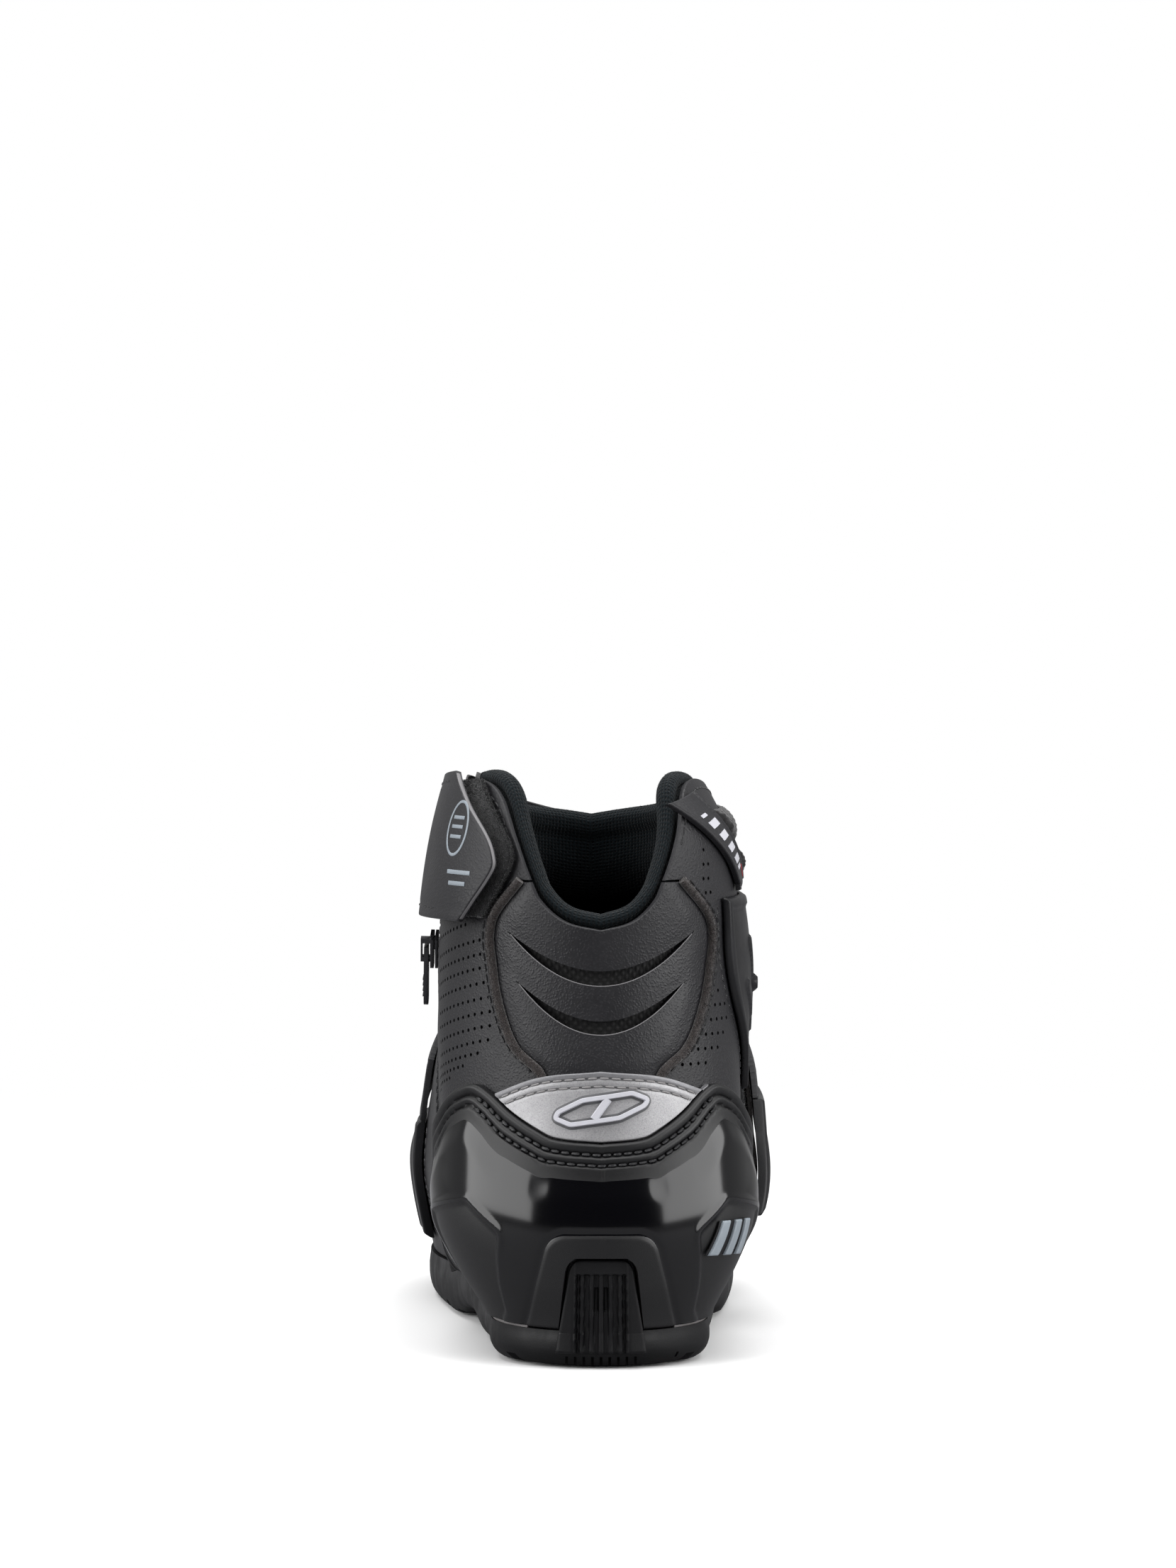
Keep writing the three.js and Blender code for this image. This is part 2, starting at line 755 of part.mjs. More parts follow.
// Two padded mesh ribs at the outer side of the cuff, in front of the label band.
const ribRegion = (low, high) =>
  sideView(
    1,
    (u, v) => {
      const height = lerp(low, high, v);
      return [lerp(labelPath(height) + 10, 101, u), tall(height)];
    },
  );
const ribEdge = 0.6; // thickness at a rib's edges
const ribDepth = (swell) => (u, v) => leather + gap + ribEdge + swell * dome(v) ** 0.7;

// Ribbed shift pad over the inner side of the toe, with a raised rear edge.
// Its rear edge lies ahead of the instep strap's front edge by a lead that falls with height.
const padLead = through([
  [20, 33.7],
  [40, 14.3],
  [62, -0.1],
]);
const padRear = (height) => instepLine(1) + instepStrapSlope * height + padLead(height);
const padRegion = {
  at: (u, v) => {
    const height = lerp(22, 61, v);
    const rear = turnAtReach(padRear(height), tall(height), -1);
    const front = lerp(-150, -178, v);
    return [lerp(front, rear, u), tall(height)];
  },
};
const padRibs = 6;
const padDepth = (u, v) => {
  const edge = smoothstep(u, 0.9, 0.97);
  const rib = 0.5 * Math.sin(Math.PI * padRibs * u) ** 2;
  return guardInner + 1.5 + lerp(rib, 1.6, edge) * smoothstep(Math.min(v, 1 - v), 0, 0.08);
};
// Moulded wear guard round the outer side of the toe.
const toeGuardOuter = guardInner + 2.2;
const toeGuardFoot = seat(toeGuardOuter);
const toeGuardTall = 22;
const toeGuardHigh = (turn) => toeGuardFoot(turn) + toeGuardTall * dome((turn - 106) / 68) ** 0.5;
const toeGuardRegion = band(110, 170, toeGuardFoot, toeGuardHigh);

// ---- Straps ----
const pileOuter = guardInner + pile;
const hookInner = pileOuter + layerGap;
const hookOuter = hookInner + hooks;
const strapInner = hookOuter + 0.5;
const strapOuter = strapInner + strapThick;

// Cuff strap: from its anchor at the outer front, across the shin, to the inner rear. Turns run on
// past 180.
const cuffStrap = { anchor: 126, root: 142, pads: 284 };
const rootGap = 0.7; // degrees between the strap and its anchor
const cuffLow = through([
  [115, 124],
  [142, 125],
  [180, 127],
  [232, 131],
  [300, 133],
  [330, 133],
]);
const cuffHigh = through([
  [115, 148],
  [142, 152],
  [180, 158],
  [232, 170],
  [300, 177],
  [330, 177],
]);
// The turn at which the strap's rear end lies, and its loop pad's, by the share of the width: a
// blunt point, slanted forward above.
const tipTurn = through([
  [0, 314],
  [0.33, 324],
  [0.42, 325],
  [0.58, 320.5],
  [0.78, 308],
  [1, 293],
]);
const loopTurn = through([
  [0, 319],
  [0.35, 327],
  [0.5, 327.5],
  [0.72, 319],
  [1, 304],
]);
// A length of the strap, from one turn to another given by the share of its width.
const cuffRegion = (from, to, inset = 0) => ({
  at: (u, v) => {
    const turn = lerp(from(v), to(v), u);
    return [turn, lerp(tall(cuffLow(turn) + inset), tall(cuffHigh(turn) - inset), v)];
  },
});
const fixed = (turn) => () => turn;
const anchorRegion = cuffRegion(fixed(cuffStrap.anchor), fixed(cuffStrap.root - rootGap));
// The strap rises off the leather over its first part, to clear the flex panel's ribs.
const strapClimb = 14;
const cuffRise = (turn) => {
  return lerp(guardInner, strapInner, smoothstep(turn, cuffStrap.root, cuffStrap.root + strapClimb));
};
function makeCuffStrap() {
  const region = cuffRegion(fixed(cuffStrap.root + rootGap), tipTurn);
  const rise = (u, v) => cuffRise(region.at(u, v)[0]);
  return panel(region, rise, (u, v) => rise(u, v) + strapThick, [46, 4]);
}
const hookRegion = cuffRegion(fixed(cuffStrap.pads + 2), (v) => tipTurn(v) - 2, 2);
const loopRegion = cuffRegion(fixed(cuffStrap.pads), loopTurn, 1.5);

// Instep strap: a band between two lines of the side view, from its root on the inner side, over
// the instep, to its free end on the outer side.
const instepStart = 128; // reach of the strap's middle line at the height of its free end
const instepEnd = 37;
const instepRoot = -118; // turn of the root on the inner side
const instepLine = (across) => {
  const half = (instepStrapWidth / 2) * Math.hypot(1, instepStrapSlope);
  return instepStart - instepStrapSlope * instepEnd + across * half;
};
// Place on the strap: across is -1 at its rear edge and 1 at its front edge.
const instepPlace = (turn, across) => {
  return [turn, heightAtLine(turn, instepLine(across), instepStrapSlope)];
};
// Turn on the outer side at which the strap's line is at a height.
const instepTurnAt = (height, across) => {
  return turnAtReach(instepLine(across) + instepStrapSlope * height, tall(height), 1);
};
// A length of the strap, from a height on the outer side (or a turn) to another.
const instepRegion = (from, to, narrow = 0) => ({
  at: (u, v) => {
    const across = (1 - 2 * v) * (1 - narrow);
    return instepPlace(lerp(from(across), to(across), u), across);
  },
});
const onOuter = (height) => (across) => instepTurnAt(height, across);
const tipLength = 33;
const tipStart = instepEnd + tipLength;
const instepRise = (u) => lerp(strapInner, leather + gap, smoothstep(u, 0.86, 1));
const rootTurn = 360 + instepRoot;
const makeInstepStrap = () => {
  const region = instepRegion(onOuter(tipStart + 0.5), fixed(rootTurn));
  return panel(region, instepRise, (u) => instepRise(u) + strapThick, [26, 3]);
};
const tipRegion = instepRegion(onOuter(instepEnd), onOuter(tipStart));
const instepHooks = instepRegion(onOuter(instepEnd + 2), onOuter(tipStart + 18), 0.14);
const instepPile = instepRegion(onOuter(instepEnd - 2), onOuter(tipStart + 14), 0.04);
const instepAnchor = instepRegion(fixed(rootTurn + 1), fixed(rootTurn + 13));

// ---- Zip ----
const zipPoint = (share, depth) => {
  const [reach, height] = zipPlace(share, 0);
  return point(turnAtReach(reach, height, -1), height, depth);
};
// The slider's own frame: its travel is along -Y of the frame, and +Z is out of the boot.
const sliderLift = coilThick + 0.9;
const sliderPlace = zipPoint(zipStart, sliderLift);
const slideAxis = zipPoint(zipEnd, sliderLift).sub(sliderPlace).normalize();
function sliderFrame() {
  const [reach, height] = zipPlace(zipStart, 0);
  const out = outward(turnAtReach(reach, height, -1), height);
  const down = slideAxis.clone();
  const across = new THREE.Vector3().crossVectors(down, out).normalize();
  const lift = new THREE.Vector3().crossVectors(across, down).normalize();
  return new THREE.Matrix4().makeBasis(across, down, lift).setPosition(sliderPlace);
}
const slider = sliderFrame();
const placed = (geometry) => geometry.applyMatrix4(slider);
const extruded = (shape, depth) => {
  return new THREE.ExtrudeGeometry(shape, { depth, bevelEnabled: false, steps: 1 });
};
// A slider: a tapered plate with a bridge that holds the pull.
const bridgeTall = 3.2;
function makeSlider() {
  const plate = new THREE.Shape();
  plate.moveTo(-sliderWidth / 2, -sliderLength / 2);
  plate.lineTo(sliderWidth / 2, -sliderLength / 2);
  plate.lineTo(sliderWidth * 0.3, sliderLength / 2);
  plate.lineTo(-sliderWidth * 0.3, sliderLength / 2);
  plate.closePath();
  const base = extruded(plate, sliderThick);
  const bridge = bar(2.4, sliderLength * 0.7, bridgeTall, 0, 0, sliderThick + bridgeTall / 2 - 0.2);
  const eye = bar(4, sliderLength * 0.4, bridgeTall - 0.75, 0, 0, sliderThick + bridgeTall / 2 - 0.475);
  return placed(cut(join(base, bridge), eye));
}
// The pull hangs from the bridge: a ring round it and a flat tab.
const pullLift = sliderThick + 0.4;
function makePull() {
  const ringHalf = 2.2;
  const outline = new THREE.Shape();
  outline.moveTo(-ringHalf, -0.2);
  outline.lineTo(ringHalf, -0.2);
  outline.lineTo(pullWidth / 2, sliderLength * 0.55);
  outline.lineTo(pullWidth / 2, pullLength - 2);
  outline.quadraticCurveTo(0, pullLength + 2, -pullWidth / 2, pullLength - 2);
  outline.lineTo(-pullWidth / 2, sliderLength * 0.55);
  outline.closePath();
  const body = extruded(outline, pullThick);
  body.translate(0, -1, pullLift);
  const window = bar(3, sliderLength * 0.62, 8, 0, sliderLength * 0.36, pullLift);
  return placed(cut(body, window));
}

// ---- Assembly ----
const finish = (colour, roughness, metalness = 0) => {
  return new THREE.MeshStandardMaterial({ color: colour, roughness, metalness });
};
const looks = {
  leather: finish(0x2c2b30, 0.55),
  gloss: finish(0x121214, 0.12),
  rubber: finish(0x1d1d20, 0.75),
  mesh: finish(0x1b2226, 0.95),
  air: finish(0x2e292c, 0.95),
  pile: finish(0x121416, 1),
  foam: finish(0x3a3a3e, 0.95),
  board: finish(0x8a7355, 0.9),
  steel: finish(0x9a9ca0, 0.35, 1),
  silver: finish(0xa9a8ac, 0.4, 0.6),
  white: finish(0xdcdce2, 0.45),
  grey: finish(0x7d858c, 0.5),
  strap: finish(0x333237, 0.5),
};

const boot = new THREE.Group();
const add = (name, geometry, look) => {
  const mesh = new THREE.Mesh(geometry, looks[look]);
  mesh.name = name;
  boot.add(mesh);
};

add("outsole", makeOutsole(), "rubber");
add("insole_board", makeInsoleBoard(), "board");
add("shank", makeShank(), "steel");
add("footbed", makeFootbed(), "foam");

add("vamp", panel(vampRegion, 0, leather, [28, vampRows]), "leather");
add("shin_flex_panel", panel(flexRegion, 0, flexDepth, [5, 20]), "air");
add("outer_quarter", makeQuarter(quarterSplit, quarterFront), "leather");
add("inner_quarter", makeQuarter(-quarterFront, -quarterSplit), "leather");
add("achilles_panel", makeAchillesPanel(), "leather");
add("achilles_mesh", panel(meshRegion, -layerGap - backing, -layerGap, [12, 5]), "air");
for (const [side, name] of [[1, "outer"], [-1, "inner"]]) {
  const piping = panel(pipingRegion(side), leather + gap, leather + gap + pipingTall, [2, 12]);
  add(`achilles_piping_${name}`, piping, "air");
}
add("heel_stiffener", stiffener(-60, 60, 60), "board");
add("toe_puff", stiffener(138, 222, 46), "board");
add("collar_pad", makeCollar(), "mesh");
add("quarter_lining", makeQuarterLining(), "mesh");
add("vamp_lining", makeVampLining(), "mesh");

add("heel_counter", makeCounter(), "gloss");
add("heel_badge", panel(badgeRegion, guardInner, badgeOuter, [16, 3]), "silver");
add("heel_emblem", makeEmblem(), "white");
add("counter_mark", makeCounterMark(), "grey");
add("ankle_guard", panel(ankleRegion, guardInner, ankleDepth, [10, 8]), "rubber");
add("label_band", panel(labelRegion, guardInner, labelOuter, [3, 8]), "rubber");
add("side_rib_lower", panel(ribRegion(145, 154), leather + gap, ribDepth(2.6), [10, 4]), "air");
add("side_rib_upper", panel(ribRegion(156, 166), leather + gap, ribDepth(2.2), [10, 4]), "air");
add("shift_pad", panel(padRegion, guardInner, padDepth, [24, 7]), "gloss");
add("toe_guard", panel(toeGuardRegion, guardInner, toeGuardOuter, [14, 4]), "gloss");

add("cuff_strap_anchor", panel(anchorRegion, guardInner, guardInner + strapThick, [3, 3]), "strap");
add("cuff_strap", makeCuffStrap(), "strap");
add("cuff_hook_pad", panel(hookRegion, hookInner, hookOuter, [10, 4]), "pile");
add("cuff_loop_pad", panel(loopRegion, guardInner, pileOuter, [7, 4]), "pile");

add("instep_strap", makeInstepStrap(), "strap");
add("instep_strap_tip", panel(tipRegion, strapInner, strapOuter + 1.2, [6, 3]), "rubber");
add("instep_hook_pad", panel(instepHooks, hookInner, hookOuter, [7, 3]), "pile");
add("instep_loop_pad", panel(instepPile, guardInner, pileOuter, [7, 3]), "pile");
add("instep_strap_anchor", panel(instepAnchor, guardInner, guardInner + strapThick, [3, 3]), "strap");

add("zip_tape", panel(zipRegion(zipTapeWidth), -layerGap - zipTapeThick, -layerGap, [2, 14]), "mesh");
add("zip_coil", panel(zipRegion(coilWidth, 0.03, 0.97), 0, coilThick, [2, 14]), "rubber");
add("zip_stop_lower", panel(zipRegion(coilWidth + 2, 0.006, 0.025), 0, coilThick + 0.8, [2, 1]), "steel");
add("zip_stop_upper", panel(zipRegion(coilWidth + 2, 0.975, 0.99), 0, coilThick + 0.8, [2, 1]), "steel");
add("zip_slider", makeSlider(), "steel");
add("zip_pull", makePull(), "rubber");

boot.position.y = -heelCentre;
export default boot;
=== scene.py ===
"""The looks of a short motorcycle riding boot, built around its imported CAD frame.

Helpers work in millimetres on the same last surface as the CAD: a place is a turn, in degrees round
the boot from the middle of the heel (positive on the outer side, 180 at the toe), a height above the
ground and a depth out of the surface. Meshes are made in metres, in the frame's own axes.
"""
import math

import bmesh
import bpy
import numpy as np
from mathutils import Matrix, Vector


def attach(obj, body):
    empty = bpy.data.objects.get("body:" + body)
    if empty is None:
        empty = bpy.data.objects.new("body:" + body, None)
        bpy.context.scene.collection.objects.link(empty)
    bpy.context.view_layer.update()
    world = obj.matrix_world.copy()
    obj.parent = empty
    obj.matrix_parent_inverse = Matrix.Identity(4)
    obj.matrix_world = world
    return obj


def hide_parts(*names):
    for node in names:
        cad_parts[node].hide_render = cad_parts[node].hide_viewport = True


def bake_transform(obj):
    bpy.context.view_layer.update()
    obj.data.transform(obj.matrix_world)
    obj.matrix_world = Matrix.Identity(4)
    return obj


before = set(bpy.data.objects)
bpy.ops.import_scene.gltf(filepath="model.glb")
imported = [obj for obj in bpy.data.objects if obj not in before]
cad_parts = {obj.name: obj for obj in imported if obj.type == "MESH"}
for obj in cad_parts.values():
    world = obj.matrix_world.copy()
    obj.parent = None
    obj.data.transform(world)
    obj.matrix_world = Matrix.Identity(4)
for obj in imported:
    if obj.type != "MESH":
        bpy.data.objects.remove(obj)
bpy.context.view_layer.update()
MM = 0.001

# ---- Sizes of the boot, in millimetres, as in the CAD ----
SOLE_LENGTH = 288
HEEL_CENTRE = 34  # heel's rearmost point to the frame's origin
LAST_TOP = 184
GAP = 0.3
LAYER_GAP = 0.7
LEATHER = 1.6
OVERLAY = 2.5
LINING = 2.2
BACKING = 0.9
COLLAR_PAD = 8
COLLAR_ROLL = 4.6
COLLAR_DROP = 24
PILE = 1.8
HOOKS = 1.3
STRAP_THICK = 2
INSTEP_WIDTH = 34
INSTEP_SLOPE = 0.52
ZIP_TAPE_WIDTH = 13
ZIP_TAPE_THICK = 0.8
ZIP_SLOT = 10
COIL_WIDTH = 4.4
COIL_THICK = 1.3
WELT = 3.2
FLEX_HALF = 26
FLEX_RIBS = 5

ON_LEATHER = LEATHER + 0.02
GUARD_INNER = LEATHER + LAYER_GAP
GUARD_OUTER = GUARD_INNER + OVERLAY
LINING_OUTER = -2 * LAYER_GAP - BACKING
COLLAR_INNER = LINING_OUTER - (COLLAR_PAD - 1.6)
PILE_OUTER = GUARD_INNER + PILE
HOOK_INNER = PILE_OUTER + LAYER_GAP
HOOK_OUTER = HOOK_INNER + HOOKS
STRAP_INNER = HOOK_OUTER + 0.5
BADGE_OUTER = GUARD_INNER + 1.6


# ---- Curves ----
def lerp(a, b, t):
    return a + (b - a) * t


def smoothstep(x, low, high):
    t = np.clip((x - low) / (high - low), 0, 1)
    return t * t * (3 - 2 * t)


def hermite(xs, ys, x):
    """A smooth curve through knots, one column of them for each x, level beyond its ends."""
    x = np.asarray(x, float)
    flat = x.ravel()
    xs = np.broadcast_to(xs, (len(xs), flat.size))
    ys = np.broadcast_to(ys, (len(ys), flat.size))
    index = np.arange(len(xs))
    before = np.maximum(index - 1, 0)
    after = np.minimum(index + 1, len(xs) - 1)
    slopes = (ys[after] - ys[before]) / (xs[after] - xs[before])
    i = (flat > xs[1:-1]).sum(0)
    column = np.arange(flat.size)
    width = xs[i + 1, column] - xs[i, column]
    t = np.clip((flat - xs[i, column]) / width, 0, 1)
    s = 1 - t
    ends = ys[i, column] * s * s * (1 + 2 * t) + ys[i + 1, column] * t * t * (3 - 2 * t)
    lean = width * s * t * (slopes[i, column] * s - slopes[i + 1, column] * t)
    return (ends + lean).reshape(x.shape)


def through(*points):
    knots = np.array(points, float)
    return lambda x: hermite(knots[:, :1], knots[:, 1:], x)


def unit(vectors):
    return vectors / np.linalg.norm(vectors, axis=-1, keepdims=True)


# ---- The last ----
sole_edge = through((0, 11), (60, 13), (115, 17), (190, 15), (240, 17), (288, 25))

# Level rings: height at heel and toe, reach of the rear and front, half width of the inner side at
# heel and toe and of the outer side at heel and toe, length of the rounded rear and front ends.
STATIONS = np.array([
    [0, 0, 3.5, 283, 30.5, 48, 30.5, 47, 30, 92],
    [27, 36, 1.5, 285, 38, 52, 36.5, 51, 34, 90],
    [42, 48, 1, 277, 44, 53, 41.5, 51, 38, 88],
    [60, 60, 3, 252, 45.5, 51, 42, 48, 42, 88],
    [80, 77, 6.5, 214, 47, 49, 42, 45, 45, 84],
    [100, 98, 9, 178, 48.5, 46, 42.5, 42, 50, 74],
    [120, 120, 10.5, 149, 49, 46, 43, 42, 55, 66],
    [140, 140, 10.5, 135, 47.5, 45, 42.5, 41, 56, 60],
    [160, 160, 12, 127, 44, 42, 39.5, 38, 54, 56],
    [184, 184, 17, 119, 37, 36, 26, 26, 50, 50],
])


def inflare(reach):
    return -10 * np.clip(reach / SOLE_LENGTH, 0, 1) ** 1.5


def round_end(share):
    return np.sqrt(1 - (1 - np.clip(share, 0, 1)) ** 2)


def rings(turn):
    """x, reach and height of every station's ring at each turn."""
    (low, high, rear, front, inner0, inner1, outer0, outer1, back, tip) = STATIONS.T[:, :, None]
    angle = np.radians(turn)
    side = np.sign(np.sin(angle))
    along = (1 - np.cos(angle)) / 2
    reach = lerp(rear, front, along)
    half0 = np.where(side < 0, inner0, outer0)
    half1 = np.where(side < 0, inner1, outer1)
    ends = round_end((reach - rear) / back) * round_end((front - reach) / tip)
    x = side * lerp(half0, half1, smoothstep(along, 0.1, 0.75)) * ends + inflare(reach)
    height = lerp(low, high, smoothstep(along, 0, 1))
    height[0] = sole_edge(reach[0])
    return x, reach, height


def on_last(turn, height):
    turn, height = np.broadcast_arrays(np.asarray(turn, float), np.asarray(height, float))
    x, reach, levels = rings(turn.ravel())
    flat = height.ravel()
    at = np.stack([hermite(levels, x, flat), hermite(levels, reach, flat), flat], -1)
    return at.reshape(turn.shape + (3,))


def outward(turn, height):
    step = 0.5
    around = on_last(turn + step, height) - on_last(turn - step, height)
    up = on_last(turn, height + step) - on_last(turn, height - step)
    return unit(np.cross(around, up))


def place(turn, height, depth):
    """A point of the boot in the frame's axes."""
    turn, height, depth = np.broadcast_arrays(turn, height, depth)
    at = on_last(turn, height) + outward(turn, height) * depth[..., None]
    at[..., 1] -= HEEL_CENTRE
    return at


def foot_height(turn):
    turn = np.asarray(turn, float)
    return rings(turn.ravel())[2][0].reshape(turn.shape)


def solve(rising, target, low, high):
    """Where a rising function reaches a target, for each value of the target."""
    low = np.broadcast_to(low, np.shape(target)).astype(float)
    high = np.broadcast_to(high, np.shape(target)).astype(float)
    for _ in range(20):
        middle = (low + high) / 2
        below = rising(middle) < target
        low = np.where(below, middle, low)
        high = np.where(below, high, middle)
    return (low + high) / 2


def turn_at_reach(reach, height, side):
    reach, height = np.broadcast_arrays(np.asarray(reach, float), np.asarray(height, float))
    return side * solve(lambda turn: on_last(side * turn, height)[..., 1], reach, 0, 180)


def turn_at_x(x, height):
    x, height = np.broadcast_arrays(np.asarray(x, float), np.asarray(height, float))
    side = np.where(x < 0, -1.0, 1.0)
    middle = on_last(0, height)[..., 0]
    return side * solve(lambda turn: side * (on_last(side * turn, height)[..., 0] - middle), abs(x), 0, 75)


def height_at_line(turn, start, slope):
    """Height at which a turn's column crosses the side view's line reach = start + slope * height."""
    turn, start = np.broadcast_arrays(np.asarray(turn, float), np.asarray(start, float))
    zero = np.zeros(turn.shape)
    low = foot_height(turn)
    return solve(lambda z: start + slope * z - on_last(turn, z)[..., 1], zero, low, LAST_TOP)


def from_middle(turn, height):
    """Signed distance across from the middle of the boot's rear."""
    return on_last(turn, height)[..., 0] - on_last(0, height)[..., 0]


# ---- Lines of the design ----
_cuff = through((0, 131.8), (12, 134.5), (21.4, 141), (25.6, 147), (33.6, 159), (43, 170),
                (54, 175), (70, 175.5), (100, 171), (140, 163), (180, 159))


def cuff_edge(turn):
    """Top edge of the leather."""
    return _cuff(np.abs((np.asarray(turn, float) + 180) % 360 - 180))


def seat(depth):
    """Lowest height of a layer whose outer face lies at a depth."""
    def low(turn):
        foot = foot_height(turn)
        return foot + GAP + depth * np.maximum(0, -outward(turn, foot + 1)[..., 2])
    return low


foot = seat(LEATHER)


def fixed(number):
    return lambda share: np.full(np.shape(share), float(number))


def band(start, end, low, high):
    def region(u, v):
        turn = lerp(start, end, u)
        return turn, lerp(low(turn), high(turn), v)
    return region


def side_view(side, view):
    def region(u, v):
        reach, height = view(u, v)
        return turn_at_reach(reach, height, side), height
    return region


# ---- Meshes ----
def new_object(name, points, faces):
    mesh = bpy.data.meshes.new(name)
    mesh.from_pydata((np.asarray(points) * MM).tolist(), [], faces)
    mesh.validate()
    obj = bpy.data.objects.new(name, mesh)
    bpy.context.scene.collection.objects.link(obj)
    return obj


def shade(obj, angle=40):
    obj.data.shade_smooth()
    obj.data.set_sharp_from_angle(angle=math.radians(angle))
    return obj


def outside(obj):
    """Turns every face outward."""
    work = bmesh.new()
    work.from_mesh(obj.data)
    bmesh.ops.recalc_face_normals(work, faces=work.faces)
    work.to_mesh(obj.data)
    work.free()
    return obj


def apply_modifiers(obj):
    bpy.context.view_layer.update()
    result = bpy.data.meshes.new_from_object(obj.evaluated_get(bpy.context.evaluated_depsgraph_get()))
    obj.modifiers.clear()
    old = obj.data
    obj.data = result
    bpy.data.meshes.remove(old)


def grid_faces(rows, columns, ring, lift=0, flip=False):
    """Quads of a grid of points, numbered row by row from lift."""
    j, i = np.mgrid[0:rows - 1, 0:columns if ring else columns - 1]
    a = (j * columns + i).ravel() + lift
    b = (j * columns + (i + 1) % columns).ravel() + lift
    quads = np.stack([a, b, b + columns, a + columns], -1)
    return quads[:, ::-1] if flip else quads


def closing_faces(rows, columns):
    """Quads that join a grid's last row to its first."""
    i = np.arange(columns)
    after = (i + 1) % columns
    top = (rows - 1) * columns
    return np.stack([i + top, after + top, after, i], -1)


def shell(outer, inner, ring=False):
    """Points and faces of the closed solid between two grids of points, outer and inner."""
    rows, columns = outer.shape[:2]
    count = rows * columns
    faces = [grid_faces(rows, columns, ring), grid_faces(rows, columns, ring, count, True)]
    span = np.arange(columns if ring else columns - 1)
    after = (span + 1) % columns
    faces.append(np.stack([span, span + count, after + count, after], -1))
    top = (rows - 1) * columns
    faces.append(np.stack([span + top, after + top, after + top + count, span + top + count], -1))
    if not ring:
        a = np.arange(rows - 1) * columns
        b = a + columns - 1
        faces.append(np.stack([a, a + columns, a + columns + count, a + count], -1))
        faces.append(np.stack([b, b + count, b + columns + count, b + columns], -1))
    points = np.concatenate([outer.reshape(-1, 3), inner.reshape(-1, 3)])
    return points, np.concatenate(faces).tolist()


def spaced(length, step, border):
    """Shares from 0 to 1 at a step in millimetres, closer together inside the rounded border."""
    near = np.array([0, 0.08, 0.25, 0.5, 0.75, 1]) * border if border else np.zeros(1)
    count = max(int(round((length - 2 * border) / step)), 1)
    middle = np.linspace(border, length - border, count + 1)[1:-1]
    return np.concatenate([near, middle, (length - near)[::-1]]) / length


def spans(region):
    """Lengths in millimetres across and up a region."""
    share = np.linspace(0, 1, 25)
    half = np.full(25, 0.5)
    across = on_last(*region(share, half))
    up = on_last(*region(half, share))
    return [np.linalg.norm(np.diff(line, axis=0), axis=1).sum() for line in (across, up)]


def value(depth, u, v):
    return depth(u, v) if callable(depth) else np.full(np.shape(u), float(depth))


def panel(name, region, inner, outer, step=1.5, border=0.8, ring=False, extra=None):
    """A layer of the boot between two depths, its outer border rounded. extra gives relief to add to
    the outer face, and named vertex values, from turn, height and the region's own u and v."""
    width, tall = spans(region)
    if ring:
        us = np.linspace(0, 1, int(width / step), endpoint=False)
    else:
        us = spaced(width, step, border)
    vs = spaced(tall, step, border)
    u, v = np.meshgrid(us, vs)
    turn, height = region(u, v)
    out = value(outer, u, v)
    low = value(inner, u, v)
    if border:
        near_u = 1 if ring else np.clip(np.minimum(u, 1 - u) * width / border, 0, 1)
        near_v = np.clip(np.minimum(v, 1 - v) * tall / border, 0, 1)
        reach = np.clip(np.hypot(1 - near_u, 1 - near_v), 0, 1)
        out = out - np.minimum(border, (out - low) * 0.8) * (1 - np.sqrt(1 - reach * reach))
    marks = {}
    if extra:
        relief, marks = extra(turn, height, u, v)
        out = out + relief
    points, faces = shell(place(turn, height, out), place(turn, height, low), ring)
    obj = new_object(name, points, faces)
    uv = np.stack([u * width, v * tall], -1).reshape(-1, 2) * MM
    add_uv(obj, np.concatenate([uv, uv]))
    for key, values in marks.items():
        add_mark(obj, key, np.concatenate([values.ravel(), values.ravel()]))
    return shade(outside(obj))


def add_uv(obj, uv):
    layer = obj.data.uv_layers.new(name="surface")
    index = np.zeros(len(obj.data.loops), np.int32)
    obj.data.loops.foreach_get("vertex_index", index)
    layer.data.foreach_set("uv", uv[index].astype(np.float32).ravel())


def add_mark(obj, key, values):
    layer = obj.data.attributes.new(key, "FLOAT", "POINT")
    layer.data.foreach_set("value", np.asarray(values, np.float32))


def block(region, low, high, cells):
    """Points and faces of a plain layer with square borders, for cutting."""
    u, v = np.meshgrid(np.linspace(0, 1, cells[0] + 1), np.linspace(0, 1, cells[1] + 1))
    turn, height = region(u, v)
    return shell(place(turn, height, high), place(turn, height, low))


def combine(parts):
    """Several (points, faces) as one."""
    points, faces, count = [], [], 0
    for some, loops in parts:
        points.append(some)
        faces += [[i + count for i in loop] for loop in loops]
        count += len(some)
    return np.concatenate(points), faces


def boolean(obj, parts, operation="DIFFERENCE"):
    """Cuts solids from an object's mesh, or adds them to it."""
    for part in parts:
        tool = outside(new_object("tool", *part))
        change = obj.modifiers.new("cut", "BOOLEAN")
        change.operation = operation
        change.solver = "MANIFOLD"
        change.object = tool
        apply_modifiers(obj)
        bpy.data.objects.remove(tool)
    return shade(obj)


